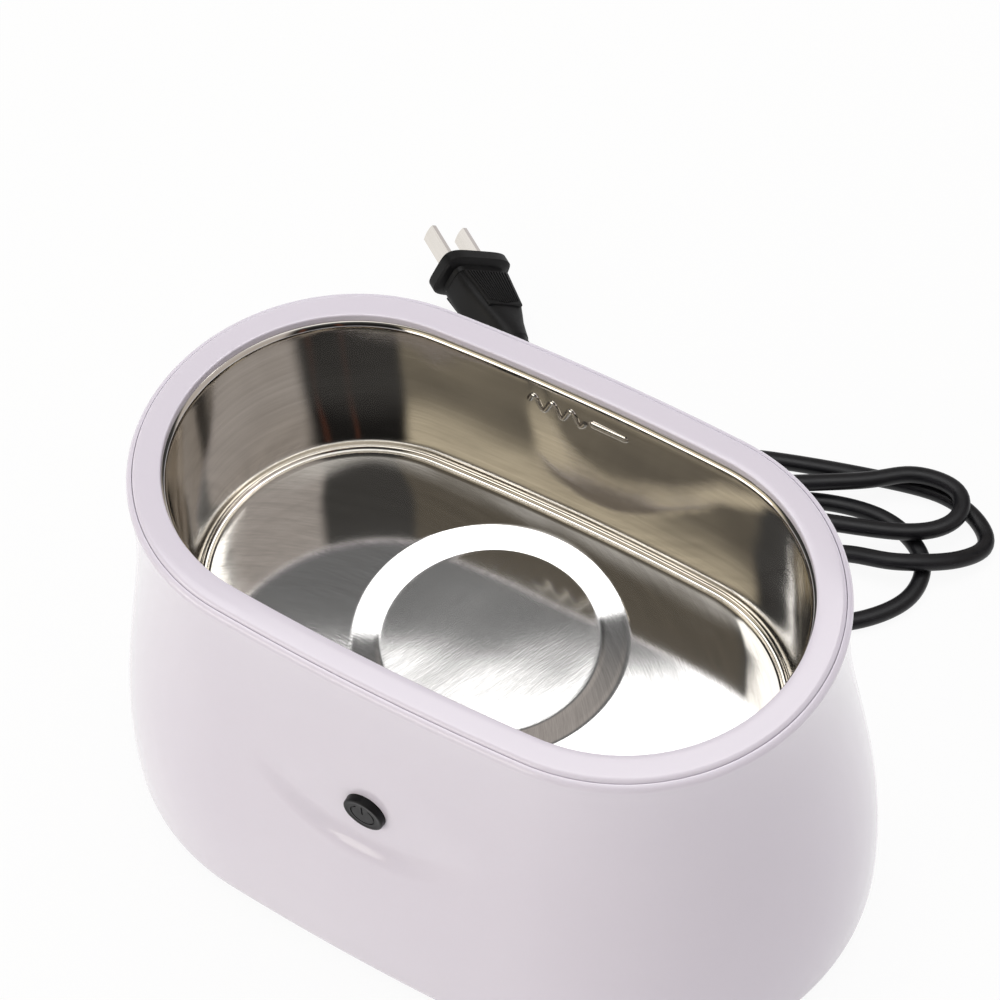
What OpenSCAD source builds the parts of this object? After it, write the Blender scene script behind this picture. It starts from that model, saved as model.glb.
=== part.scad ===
// Ultrasonic cleaner with an oval drawn steel tank, a glossy moulded housing, one push button and a mains lead.
// Millimetres. The origin is under the middle of the machine, on the table; X runs along the oval, -Y is the front.

/* [Overall] */
// Height from the table to the top of the rim
total_h = 128; // [124:1:140]
// Distance from the middle to the centre of each round end
end_x = 41.2; // [38:0.2:50]

/* [Housing] */
// Width of the rim, from the tank wall to the outside of the waist
rim_w = 10.3; // [9.7:0.1:14.5]
// How far the wall flares out from the waist to the belly
flare = 14.3; // [12:0.1:18]
// Thickness of the housing wall
wall = 2.5; // [2:0.1:3]
// Rounding under the belly
base_round = 5; // [4:0.1:7]
// Height of the waist below the rim
waist_drop = 7; // [5:0.5:9]
// Rounding of the bead at the top edge of the housing
bead_r = 1.6; // [1:0.1:1.8]
// How far the bead sits below the rim
bead_drop = 1; // [0.8:0.1:1.4]
// Thickness of the shelf that carries the tank
shelf_t = 2.5; // [2:0.1:3.5]

/* [Bezel] */
// How far the opening in the bezel stands back from the tank wall
mouth_lap = 1.2; // [0.9:0.1:1.9]
// Thickness of the bezel plate
bezel_t = 2.2; // [2:0.1:2.6]
// Rounding of the outer edge of the bezel
bezel_round = 1.3; // [0.6:0.1:1.6]
// Gap between the bezel and the housing around it
bezel_gap = 0.15; // [0.1:0.05:0.4]
// Thickness of the skirt under the bezel
skirt_t = 1.2; // [1:0.1:1.5]
// Width of each snap clip
clip_w = 8; // [5:0.5:12]

/* [Tank] */
// Radius of the tank wall at the top
tank_r = 47.5; // [47:0.1:47.9]
// How much the wall radius shrinks down to the floor
tank_taper = 1.1; // [0.5:0.1:2]
// Thickness of the drawn steel
sheet = 0.8; // [0.6:0.05:1]
// Radius of the bend at the mouth, on the wet side
mouth_bend = 2.2; // [1.5:0.1:2.4]
// Radius of the corner between wall and floor
corner_bend = 2.6; // [1.5:0.1:4]
// Depth of the gutter around the floor
gutter_depth = 1; // [0.5:0.1:2]
// Width of the gutter around the raised floor, to the wall
gutter_w = 3.2; // [2.8:0.1:4.4]
// Width of the pressed ring around the seat
ring_w = 7.1; // [5:0.1:8]
// How far the flat seat reaches past the horn
seat_land = 7.7; // [4:0.1:8.5]
// Depth of the flat seat below the floor
seat_depth = 1.4; // [0.8:0.1:2]
// Thickness of the gasket under the tank flange
gasket_t = 1.5; // [1:0.1:2]

/* [Base] */
// Height of the housing above the table
foot_gap = 2; // [1.5:0.1:3]
// Thickness of the base plate
base_t = 2.5; // [2:0.1:3.5]
// Clearance around the base plate
base_clear = 0.3; // [0.2:0.05:0.6]
// Radius of each foot
foot_r = 7; // [5:0.5:9]
// Distance of the feet from the ends of the base
foot_in_x = 38.3; // [32:0.1:46]
// Distance of the feet from the sides of the base
foot_in_y = 29.1; // [25:0.1:36]
// Distance of the base screws from the ends of the base
screw_in_x = 24.3; // [20:0.1:28]
// Distance of the base screws from the sides of the base
screw_in_y = 27.1; // [23:0.1:31]
// Radius of the bosses that the base screws enter
boss_r = 4.2; // [3.6:0.1:5]
// Width of the vent slots in the base
vent_w = 2.5; // [2:0.1:3.5]

/* [Button] */
// Height of the button above the table
button_z = 74.6; // [72:0.1:78]
// Radius of the button
button_r = 6; // [5:0.1:7]
// How far the button stands out of its recess
button_out = 2.4; // [2:0.1:3.5]
// Travel of the button
button_travel = 1.2; // [0.8:0.1:1.4]
// Clearance of the button in its hole
button_clear = 0.1; // [0.05:0.01:0.2]
// Radius of the scoop around the button, at its floor
scoop_r = 44; // [36:0.5:50]
// Height of the middle of the scoop above the button
scoop_up = 31.5; // [28:0.5:36]
// Tilt of the scoop floor, in degrees from upright
scoop_tilt = 4.8; // [4:0.1:6]
// Depth of the scoop at the button
scoop_in = 1.4; // [1:0.1:1.8]
// Room behind the scoop wall for the button flange, spring and switch
switch_room = 6.5; // [6.4:0.1:7]

/* [Transducer] */
// Radius of the sounding face of the horn
horn_r = 22.5; // [20:0.5:26]
// Radius of the ceramic rings
stack_r = 19; // [17:0.5:20]
// Thickness of each ceramic ring
ring_t = 5; // [4:0.5:6]
// Length of the horn
horn_l = 22; // [18:1:26]
// Length of the steel back mass
back_l = 16; // [12:1:18]
// Room under the bolt of the transducer, above the base plate; the tank is as deep as the height then leaves
bolt_room = 11.9; // [6:0.1:16]

/* [Driver board] */
// Length of the board
board_l = 62; // [60:1:66]
// Width of the board
board_w = 54; // [52:1:58]
// Distance of the middle of the board from the middle of the machine
board_x = 66; // [65:0.5:68]
// Height of the board above the base plate
board_up = 6; // [5:0.5:10]

/* [Mains lead] */
// Radius of the lead
cord_r = 2.5; // [2:0.1:2.6]
// Distance of the lead's exit from the middle, towards the left
exit_x = -25; // [-25:1:-25]
// Length of the strain relief outside the housing
relief_l = 24; // [20:1:24]
// Distance between the two blades of the plug
blade_gap = 12.7; // [12.7:0.1:12.7]
// Length of the blades
blade_l = 17.5; // [15.9:0.1:18.3]
// Width of each blade
blade_w = 6.3; // [6.2:0.1:6.4]
// Thickness of each blade
blade_t = 1.5; // [1.4:0.05:1.6]

/* [Hidden] */
$fn = 72;
// overlap that joins faces, and how far a cutter runs past a face
eps = 0.01;
over = 1;

// Levels
top_z = total_h;
bead_z = top_z - bead_drop;
waist_z = top_z - waist_drop;
belly_z = foot_gap + base_round;
flange_z1 = top_z - bezel_t;
flange_z0 = flange_z1 - sheet;
shelf_z1 = flange_z0 - gasket_t;
shelf_z0 = shelf_z1 - shelf_t;
base_top = foot_gap + base_t;
board_z = base_top + board_up;
board_t = 1.6;
board_top = board_z + board_t;

// Levels of the transducer and the tank floor, from the base plate up
bond_t = 0.4;
tab_t = 0.3;
bolt_head_h = 7;
mass_z = base_top + bolt_room + bolt_head_h;
mass_top = mass_z + back_l;
ring2_z = mass_top + tab_t;
ring1_z = ring2_z + ring_t + tab_t;
horn_z = ring1_z + ring_t;
horn_top = horn_z + horn_l;
seat_z = horn_top + bond_t + sheet;
floor_z = seat_z + seat_depth;
gutter_z = floor_z - gutter_depth;

// Radii of the tank floor
tank_low_r = tank_r - tank_taper;
panel_r = tank_low_r - gutter_w;
seat_r = horn_r + seat_land;
ring_r = seat_r + ring_w;

// Radii at the rim
neck_r = tank_r + rim_w;
mouth_r = tank_r + mouth_lap;
rim_in_r = neck_r - wall;
bead_out = 0.2;
rim_lip_r = neck_r + bead_out - bead_r;
bezel_r = rim_lip_r - bezel_gap;
skirt_r = rim_in_r - base_clear;
skirt_in = skirt_r - skirt_t;
flange_clear = 0.2;
flange_r = skirt_in - flange_clear;
tank_clear = 0.6;
shelf_in = tank_r + sheet + tank_clear;

// Belly and base
belly_r = neck_r + flare;
foot_edge_r = belly_r - base_round;
base_r = foot_edge_r - base_clear;
base_end = end_x + foot_edge_r;
foot_x = base_end - foot_in_x;
foot_y = foot_edge_r - foot_in_y;
screw_x = base_end - screw_in_x;
screw_y = foot_edge_r - screw_in_y;

function arc(cx, cy, r, a0, a1, n) = [for (i = [0:n]) let (a = a0 + (a1 - a0)*i/n) [cx + r*cos(a), cy + r*sin(a)]];
function wall_r(z) = neck_r + flare*(0.5 - 0.5*cos(180*(waist_z - z)/(waist_z - belly_z)));
function flare_pts(z0, z1, inset, n) = [for (i = [0:n]) let (z = z0 + (z1 - z0)*i/n) [wall_r(z) - inset, z]];
function flip(p) = [for (i = [len(p) - 1:-1:0]) [-p[i][0], p[i][1]]];
function filled(p) = concat([[0, p[0][1]]], p, [[0, p[len(p) - 1][1]]]);

// Solid oval: p is its outline at the round ends, from the bottom up, as [radius, height]
module oval_solid(p) {
  for (s = [0, 180]) rotate([0, 0, s])
    translate([end_x, 0, 0]) rotate([0, 0, -90]) rotate_extrude(angle = 180) polygon(filled(p));
  translate([-end_x, 0, 0]) rotate([90, 0, 90]) linear_extrude(2*end_x) polygon(concat(p, flip(p)));
}
// Oval ring: p is the closed outline of its section, as [radius, height]
module oval_ring(p) {
  for (s = [0, 180]) rotate([0, 0, s]) {
    translate([end_x, 0, 0]) rotate([0, 0, -90]) rotate_extrude(angle = 180) polygon(p);
    translate([-end_x, 0, 0]) rotate([90, 0, 90]) linear_extrude(2*end_x) polygon(p);
  }
}
module at_corners(x, y) { for (sx = [-1, 1], sy = [-1, 1]) translate([sx*x, sy*y, 0]) children(); }
module rod(r, l) { rotate([-90, 0, 0]) cylinder(r = r, h = l); }
clip_pitch = 30;
module clip_places() {
  for (s = [0, 180]) rotate([0, 0, s]) {
    for (i = [-1:1]) translate([i*clip_pitch, 0, 0]) rotate([0, 0, 90]) children();
    translate([end_x, 0, 0]) children();
  }
}

// Housing
housing_outer = concat(arc(foot_edge_r, belly_z, base_round, -90, 0, 6), flare_pts(belly_z, waist_z, 0, 22),
                       arc(rim_lip_r, bead_z - bead_r, bead_r, 0, 90, 5));
housing_inner = concat([[foot_edge_r, foot_gap - over]], arc(foot_edge_r, belly_z, base_round - wall, -90, 0, 4),
                       flare_pts(belly_z, shelf_z0, wall, 18));
// the inside of the wall a little way in, so that what stands on the wall is joined to it
wall_bite = 0.5;
top_room = 10;
housing_room = concat([[foot_edge_r, base_top - wall_bite]],
                      arc(foot_edge_r, belly_z, base_round - wall + wall_bite, -60, 0, 3),
                      flare_pts(belly_z, shelf_z0 - top_room, wall - wall_bite, 16));

// Scoop: a tilted plane cut by a wide cone about a point above the button
scoop_z = button_z + scoop_up;
scoop_slope = 1.2;
scoop_depth = 9;
scoop_set = 1.1;
scoop_half = 60;
scoop_reach = 30;
scoop_back_r = scoop_r + over;
back_below = 26;
back_tall = 46;
floor_y = wall_r(button_z) - scoop_in;
module on_scoop_floor() { translate([0, -floor_y, button_z]) rotate([-scoop_tilt, 0, 0]) children(); }
module scoop() {
  intersection() {
    on_scoop_floor() translate([-scoop_half, -scoop_reach, -scoop_half])
      cube([2*scoop_half, scoop_reach, 2*scoop_half]);
    translate([0, -floor_y - scoop_set + scoop_depth/2, scoop_z]) rotate([90, 0, 0])
      cylinder(r1 = scoop_r - scoop_slope*scoop_depth/2, r2 = scoop_r + scoop_slope*scoop_depth/2,
               h = scoop_depth, $fn = 180);
  }
}
// the space behind the scoop floor, d deep
module scoop_back(d) {
  on_scoop_floor() translate([-scoop_half, 0, -scoop_half]) cube([2*scoop_half, d, 2*scoop_half]);
}

// Housing details
post_r = 3;
post_l = 20;
switch_y = floor_y - wall - switch_room;
switch_board_t = 1.6;
switch_post_x = 15;
pilot_r = 1.5;
pilot_l = 13;
shank_r = 1.45;
switch_pilot_r = 1.05;
switch_pilot_l = 4;
relief_z = 9;
relief_y = wall_r(relief_z);
relief_neck_r = 4;
relief_flange = 1.6;
relief_flange_t = 2;
exit_half = 10;
pad_y = relief_y - wall - relief_flange_t;
pad_w = 16;
pad_h = 11;
pad_deep = 20;
boss_h = 26;
web_t = 2;
web_l = 30;
clip_hook = 1.2;
clip_clear = 0.3;
slot_in = 0.2;
slot_out = 0.1;
neck_clear = 0.1;
clip_drop = 1.5;
hook_t = 1.4;
module outer_housing() {
  color("white") difference() {
    union() {
      difference() {
        oval_solid(housing_outer);
        oval_solid(housing_inner);
        oval_solid([[shelf_in, shelf_z0 - over], [shelf_in, shelf_z1 + over]]);
        oval_solid([[rim_in_r, shelf_z1], [rim_in_r, flange_z1 + eps]]);
        oval_solid([[rim_lip_r, flange_z1], [rim_lip_r, top_z]]);
      }
      // bosses for the base screws, with webs to the wall, and a flat pad at the exit of the lead
      intersection() {
        oval_solid(housing_room);
        union() {
          at_corners(screw_x, screw_y) translate([0, 0, base_top]) cylinder(r = boss_r, h = boss_h);
          for (sx = [-1, 1], sy = [-1, 1]) translate([sx*screw_x, sy*screw_y, base_top + over])
            rotate([0, 0, atan2(sy*screw_y, sx*(screw_x - end_x))]) translate([0, -web_t/2, 0])
              cube([web_l, web_t, boss_h - 2*over]);
          translate([exit_x - pad_w/2, pad_y, base_top + base_clear]) cube([pad_w, pad_deep, pad_h]);
        }
      }
      // the wall keeps its thickness behind the scoop
      intersection() {
        oval_solid(housing_room);
        scoop_back(wall);
        translate([0, 0, scoop_z]) rotate([90, 0, 0]) cylinder(r = scoop_back_r, h = belly_r + over, $fn = 120);
        translate([-scoop_half, -belly_r - over, button_z - back_below])
          cube([2*scoop_half, belly_r + over, back_tall]);
      }
      // posts for the switch board
      for (s = [-1, 1]) intersection() {
        translate([s*switch_post_x, -switch_y, button_z]) rotate([90, 0, 0]) cylinder(r = post_r, h = post_l);
        scoop_back(scoop_reach);
      }
    }
    scoop();
    translate([0, -switch_y, button_z]) rotate([90, 0, 0]) cylinder(r = button_r + button_clear, h = scoop_reach);
    at_corners(screw_x, screw_y) translate([0, 0, base_top - over]) cylinder(r = pilot_r, h = pilot_l + over);
    for (s = [-1, 1]) translate([s*switch_post_x, -switch_y + over, button_z]) rotate([90, 0, 0])
      cylinder(r = switch_pilot_r, h = switch_pilot_l + over);
    // exit of the mains lead
    translate([exit_x, relief_y - exit_half, relief_z]) rod(relief_neck_r + neck_clear, 2*exit_half);
    // slots for the snap clips of the bezel
    clip_places() translate([skirt_in - clip_hook - slot_in, -clip_w/2 - clip_clear, shelf_z0 - over])
      cube([skirt_t + clip_hook + slot_in + slot_out, clip_w + 2*clip_clear, shelf_t + 2*over]);
  }
}

// Bezel
mouth_edge = 0.4;
module top_bezel() {
  color("white") union() {
    oval_ring(concat([[mouth_r, flange_z1], [mouth_r, top_z - mouth_edge], [mouth_r + mouth_edge, top_z]],
                     arc(bezel_r - bezel_round, top_z - bezel_round, bezel_round, 90, 0, 5),
                     [[bezel_r, flange_z1], [skirt_r, flange_z1], [skirt_r, shelf_z1], [skirt_in, shelf_z1],
                      [skirt_in, flange_z1]]));
    // snap clips that hold the bezel down under the shelf
    clip_places() {
      translate([skirt_in, -clip_w/2, shelf_z0 - clip_drop])
        cube([skirt_t - flange_clear, clip_w, shelf_t + clip_drop + eps]);
      translate([skirt_in - clip_hook, -clip_w/2, shelf_z0 - clip_drop]) cube([clip_hook + eps, clip_w, hook_t]);
    }
  }
}

// Tank
press_in = 0.3;
press_out = 0.5;
press_lap = 4;
press_turn = 0.7;
gutter_r = panel_r + press_out;
function tank_sheet() = concat(
  [[flange_r, flange_z0], [flange_r, flange_z1]],
  arc(tank_r + mouth_bend, flange_z1 - mouth_bend, mouth_bend, 90, 180, 6),
  arc(tank_low_r - corner_bend, gutter_z + corner_bend, corner_bend, 0, -90, 6),
  [[gutter_r, gutter_z], [panel_r + press_in/2, floor_z - gutter_depth/4], [panel_r - press_in, floor_z],
   [panel_r - press_lap, floor_z], [panel_r - press_lap, floor_z - sheet], [panel_r - 2*press_in, floor_z - sheet],
   [gutter_r - press_turn, gutter_z - sheet]],
  arc(tank_low_r - corner_bend, gutter_z + corner_bend, corner_bend + sheet, -90, 0, 6),
  arc(tank_r + mouth_bend, flange_z1 - mouth_bend, mouth_bend - sheet, 180, 90, 5));
dash_x = 9.8;
dash_l = 12;
dash_w = 2.4;
dash_drop = 10.2;
dash_z = top_z - dash_drop;
dash_sunk = 0.75;
dash_t = 0.9;
module tank() {
  color("silver") union() {
    oval_ring(tank_sheet());
    difference() {
      oval_solid([[panel_r - press_lap + over, floor_z - sheet], [panel_r - press_lap + over, floor_z]]);
      translate([0, 0, gutter_z - over]) cylinder(r = ring_r, h = gutter_depth + 2*over, $fn = 120);
    }
    rotate_extrude($fn = 120)
      polygon([[0, seat_z - sheet], [seat_r - press_out, seat_z - sheet], [ring_r - press_out, floor_z - sheet],
               [ring_r + press_out, floor_z - sheet], [ring_r + press_out, floor_z], [ring_r, floor_z],
               [seat_r, seat_z],
               [0, seat_z]]);
    // raised dash of the level mark on the back wall
    translate([dash_x, tank_r - dash_sunk, dash_z]) rotate([-90, 0, 0]) linear_extrude(dash_t) union() {
      square([dash_l - dash_w, dash_w], center = true);
      for (s = [-1, 1]) translate([s*(dash_l - dash_w)/2, 0]) circle(d = dash_w, $fn = 24);
    }
  }
}
gasket_in = shelf_in + 0.9;
module tank_gasket() {
  color("dimgray")
    oval_ring([[gasket_in, shelf_z1], [flange_r, shelf_z1], [flange_r, flange_z0], [gasket_in, flange_z0]]);
}

// Base
counter_r = 3.1;
counter_d = 1.5;
stem_r = 2.4;
stem_clear = 0.1;
screw_clear = 0.25;
vent_pitch = 6;
vent_l = 28;
vent_count = 9;
post_foot = 0.5;
module vents(x) {
  first = x - (vent_count - 1)/2*vent_pitch - vent_w/2;
  for (i = [0:vent_count - 1]) translate([first + i*vent_pitch, -vent_l/2, foot_gap - over])
    cube([vent_w, vent_l, base_t + 2*over]);
}
module base_plate() {
  color("whitesmoke") difference() {
    union() {
      oval_solid([[base_r, foot_gap], [base_r, base_top]]);
      // posts for the driver board and saddle for the cord clamp
      for (x = board_hole_x(), y = board_hole_y()) translate([x, y, base_top - post_foot])
        cylinder(r = post_r, h = board_up + post_foot);
      for (s = [-1, 1]) translate([exit_x + s*clamp_x, clamp_y, base_top - post_foot])
        cylinder(r = post_r, h = clamp_z - base_top + post_foot);
    }
    at_corners(screw_x, screw_y) {
      translate([0, 0, foot_gap - over]) cylinder(r = shank_r + screw_clear, h = base_t + 2*over);
      translate([0, 0, foot_gap - over]) cylinder(r = counter_r, h = counter_d + over);
    }
    at_corners(foot_x, foot_y) translate([0, 0, foot_gap - over])
      cylinder(r = stem_r + stem_clear, h = base_t + 2*over);
    for (x = board_hole_x(), y = board_hole_y()) translate([x, y, base_top + over])
      cylinder(r = switch_pilot_r, h = board_up + over);
    for (s = [-1, 1]) translate([exit_x + s*clamp_x, clamp_y, base_top]) cylinder(r = switch_pilot_r, h = clamp_z);
    // vent slots under the board and opposite
    for (s = [-1, 1]) vents(s*board_x);
  }
}
foot_edge = 0.5;
stem_head = 1;
stem_tip = 0.4;
stem_h = 2;
module rubber_feet() {
  color("darkgray") at_corners(foot_x, foot_y) {
    cylinder(r1 = foot_r - foot_edge, r2 = foot_r, h = foot_edge);
    translate([0, 0, foot_edge]) cylinder(r = foot_r, h = foot_gap - foot_edge);
    cylinder(r = stem_r, h = base_top + eps);
    translate([0, 0, base_top]) cylinder(r1 = stem_r + stem_head, r2 = stem_r - stem_tip, h = stem_h);
  }
}
cross_w = 0.7;
cross_d = 0.8;
cross_part = 0.6;
module pan_screw(head_r, head_h, r, l) {
  difference() {
    union() {
      translate([0, 0, -head_h]) cylinder(r = head_r, h = head_h);
      translate([0, 0, -eps]) cylinder(r = r, h = l);
    }
    for (a = [0, 90]) rotate([0, 0, a]) translate([-head_r*cross_part, -cross_w/2, -head_h - over])
      cube([2*head_r*cross_part, cross_w, cross_d + over]);
  }
}
base_head_r = 2.7;
base_head_h = 1.4;
base_screw_l = 11;
small_head_r = 2.2;
small_head_h = 1.3;
small_shank_r = 1;
switch_screw_l = 5;
board_head_r = 2.4;
board_head_h = 1.5;
board_screw_l = 6.4;
clamp_screw_l = 7;
module base_screws() {
  color("gray") at_corners(screw_x, screw_y) translate([0, 0, foot_gap + counter_d])
    pan_screw(base_head_r, base_head_h, shank_r, base_screw_l);
}

// Transducer
bolt_r = 4;
bolt_deep = 14;
bolt_clear = 0.05;
bolt_head_r = 6.5;
hex_r = 3.4;
hex_deep = 4;
bore_end = 0.5;
ring_bore = bolt_r + 2.5;
bond_in = 0.3;
horn_foot = 7;
horn_land = 4;
tab_in = 0.5;
tab_w = 5;
tab_out = 6;
tab_hole_in = 2;
tab_hole_r = 1;
tab_turns = [-20, 15];
mass_edge = 1;
module bond_layer() { color("tan") translate([0, 0, horn_top]) cylinder(r = horn_r - bond_in, h = bond_t); }
module transducer_horn() {
  color("lightgray") difference() {
    translate([0, 0, horn_z]) union() {
      cylinder(r = stack_r, h = horn_foot + eps);
      translate([0, 0, horn_foot]) cylinder(r1 = stack_r, r2 = horn_r, h = horn_l - horn_foot - horn_land);
      translate([0, 0, horn_l - horn_land - eps]) cylinder(r = horn_r, h = horn_land + eps);
    }
    translate([0, 0, horn_z - over]) cylinder(r = bolt_r + bolt_clear, h = bolt_deep + over + bore_end);
  }
}
module piezo_rings() {
  color("beige") for (z = [ring1_z, ring2_z]) translate([0, 0, z]) difference() {
    cylinder(r = stack_r, h = ring_t);
    translate([0, 0, -over]) cylinder(r = ring_bore, h = ring_t + 2*over);
  }
}
module electrode_tabs() {
  color("gold") for (i = [0, 1]) translate([0, 0, [ring1_z, ring2_z][i] - tab_t]) difference() {
    union() {
      cylinder(r = stack_r - tab_in, h = tab_t);
      rotate([0, 0, tab_turns[i]]) translate([0, -tab_w/2, 0]) cube([stack_r + tab_out, tab_w, tab_t]);
    }
    translate([0, 0, -over]) cylinder(r = ring_bore, h = tab_t + 2*over);
    rotate([0, 0, tab_turns[i]]) translate([stack_r + tab_out - tab_hole_in, 0, -over])
      cylinder(r = tab_hole_r, h = tab_t + 2*over);
  }
}
module back_mass() {
  color("slategray") translate([0, 0, mass_z]) difference() {
    union() {
      cylinder(r1 = stack_r - mass_edge, r2 = stack_r, h = mass_edge + eps);
      translate([0, 0, mass_edge]) cylinder(r = stack_r, h = back_l - mass_edge);
    }
    translate([0, 0, -over]) cylinder(r = bolt_r + bolt_clear, h = back_l + 2*over);
  }
}
module transducer_bolt() {
  color("dimgray") difference() {
    union() {
      translate([0, 0, mass_z - bolt_head_h]) cylinder(r = bolt_head_r, h = bolt_head_h);
      translate([0, 0, mass_z - eps]) cylinder(r = bolt_r, h = horn_z + bolt_deep - mass_z);
    }
    translate([0, 0, mass_z - bolt_head_h - eps]) cylinder(r = hex_r, h = hex_deep, $fn = 6);
  }
}

// Driver board
board_edge = 4;
board_hole_r = 1.6;
function board_hole_x() = [board_x - board_l/2 + board_edge, board_x + board_l/2 - board_edge];
function board_hole_y() = [-board_w/2 + board_edge, board_w/2 - board_edge];
module on_board(x, y) { translate([board_x + x, y, board_top]) children(); }
module driver_board() {
  color("seagreen") difference() {
    translate([board_x - board_l/2, -board_w/2, board_z]) cube([board_l, board_w, board_t]);
    for (x = board_hole_x(), y = board_hole_y()) translate([x, y, board_z - over])
      cylinder(r = board_hole_r, h = board_t + 2*over);
  }
}
module board_screws() {
  color("gray") for (x = board_hole_x(), y = board_hole_y()) translate([x, y, board_top]) mirror([0, 0, 1])
    pan_screw(board_head_r, board_head_h, small_shank_r, board_screw_l);
}
core_x = -8;
core_y = 9;
core_l = 24;
core_w = 22;
core_h = 19;
window_l = 7;
window_h = 11;
window_x = 6.5;
window_z = 4;
winding_w = 18;
winding_clear = 0.2;
module transformer() {
  on_board(core_x, core_y) {
    color("darkslategray") difference() {
      translate([-core_l/2, -core_w/2, 0]) cube([core_l, core_w, core_h]);
      for (s = [-1, 1]) translate([s*window_x - window_l/2, -core_w/2 - over, window_z])
        cube([window_l, core_w + 2*over, window_h]);
    }
    color("goldenrod") for (s = [-1, 1])
      translate([s*window_x - window_l/2 + winding_clear, -winding_w/2, window_z])
        cube([window_l - 2*winding_clear, winding_w, window_h]);
  }
}
can_in = 13;
can_x = board_l/2 - can_in;
can_y = 12;
can_r = 7.5;
can_h = 24;
can_bead = 0.3;
film_in = 21;
film_x = board_l/2 - film_in;
big_film_y = -20;
big_film_l = 18;
big_film_w = 8;
big_film_h = 14;
small_film_y = -10;
small_film_l = 13;
small_film_w = 6;
small_film_h = 11;
module capacitors() {
  color("navy") on_board(can_x, can_y) union() {
    cylinder(r = can_r, h = can_h);
    cylinder(r = can_r + can_bead, h = over);
  }
  color("gold") on_board(film_x, big_film_y) cube([big_film_l, big_film_w, big_film_h]);
  color("gold") on_board(film_x, small_film_y) cube([small_film_l, small_film_w, small_film_h]);
}
sink_x = -24;
sink_y = -17;
sink_l = 30;
sink_w = 10;
sink_h = 22;
sink_base = 3;
fin_t = 1.6;
fin_pitch = 4.8;
fin_gap = 3;
fin_depth = 6.5;
fin_gaps = 6;
module heat_sink() {
  color("silver") on_board(sink_x, sink_y) difference() {
    cube([sink_l, sink_w, sink_h]);
    for (i = [0:fin_gaps - 1]) translate([fin_t + fin_pitch*i, -over, sink_base])
      cube([fin_gap, fin_depth + over, sink_h]);
  }
}
case_x = 2;
case_pitch = 15;
case_l = 10;
case_w = 4.4;
case_h = 15;
leg_h = 4;
leg_x = 2;
leg_y = 1.6;
leg_pitch = 2.5;
leg_l = 0.9;
leg_w = 0.6;
module power_transistors() {
  color("black") for (i = [0, 1]) on_board(sink_x + case_x + case_pitch*i, sink_y + sink_w) {
    translate([0, 0, leg_h]) cube([case_l, case_w, case_h]);
    for (k = [0:2]) translate([leg_x + leg_pitch*k, leg_y, 0]) cube([leg_l, leg_w, leg_h + eps]);
  }
}
fuse_x = -22;
fuse_y = -21.5;
fuse_r = 2.5;
fuse_l = 20;
fuse_up = 4.4;
holder_x = 0.5;
holder_pitch = 14;
holder_l = 5;
holder_w = 5.2;
holder_h = 6.5;
module fuse() {
  on_board(fuse_x, fuse_y) {
    color("lightyellow") translate([0, 0, fuse_up]) rotate([0, 90, 0]) cylinder(r = fuse_r, h = fuse_l);
    color("silver") for (i = [0, 1]) translate([holder_x + i*holder_pitch, -holder_w/2, 0]) difference() {
      cube([holder_l, holder_w, holder_h]);
      translate([-over, holder_w/2, fuse_up]) rotate([0, 90, 0]) cylinder(r = fuse_r - eps, h = holder_l + 2*over);
    }
  }
}
block_x = -30;
block_y = 3;
block_l = 8;
block_w = 15;
block_h = 10;
way_x = 3.5;
way_y = 2.5;
way_pitch = 5;
way_r = 1.7;
way_deep = 4;
module terminal_block() {
  color("limegreen") on_board(block_x, block_y) difference() {
    cube([block_l, block_w, block_h]);
    for (i = [0:2]) translate([way_x, way_y + way_pitch*i, block_h - way_deep])
      cylinder(r = way_r, h = way_deep + over);
  }
}
choke_x = 6;
choke_y = 20;
choke_r = 7.5;
choke_set = 3;
choke_mean_r = 4.8;
choke_wire_r = 2.7;
module output_choke() {
  color("peru") on_board(choke_x, choke_y + choke_set) translate([0, 0, choke_r]) rotate([90, 0, 0])
    rotate_extrude($fn = 48) translate([choke_mean_r, 0]) circle(r = choke_wire_r, $fn = 24);
}

// Button and switch
cap_lip = 1;
cap_gap = 0.1;
button_y = floor_y;
flange_r_out = button_r + cap_lip;
cap_back = button_y - wall - flange_r_out*tan(scoop_tilt) - cap_gap;
flange_t = 1.2;
cap_edge = 0.6;
cap_l = button_y + button_out - cap_back;
mark_out_r = 3.4;
mark_in_r = 2.9;
mark_deep = 0.2;
module button_cap() {
  color("black") difference() {
    union() {
      translate([0, -cap_back, button_z]) rotate([90, 0, 0]) cylinder(r = button_r, h = cap_l - cap_edge + eps);
      translate([0, -cap_back - cap_l + cap_edge, button_z]) rotate([90, 0, 0])
        cylinder(r1 = button_r, r2 = button_r - cap_edge, h = cap_edge);
      translate([0, -cap_back + flange_t, button_z]) rotate([90, 0, 0])
        cylinder(r = flange_r_out, h = flange_t + eps);
    }
    translate([0, -button_y - button_out + mark_deep, button_z]) rotate([90, 0, 0]) difference() {
      cylinder(r = mark_out_r, h = over, $fn = 48);
      translate([0, 0, -over]) cylinder(r = mark_in_r, h = 3*over, $fn = 48);
    }
  }
}
spring_r = 5.4;
spring_wire = 0.3;
spring_gap = 0.05;
spring_turns = 3;
spring_y0 = cap_back - flange_t;
spring_l = spring_y0 - switch_y;
spring_steps = 14;
function coil_pt(a, r, y) = [r*cos(a), -y, button_z + r*sin(a)];
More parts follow.
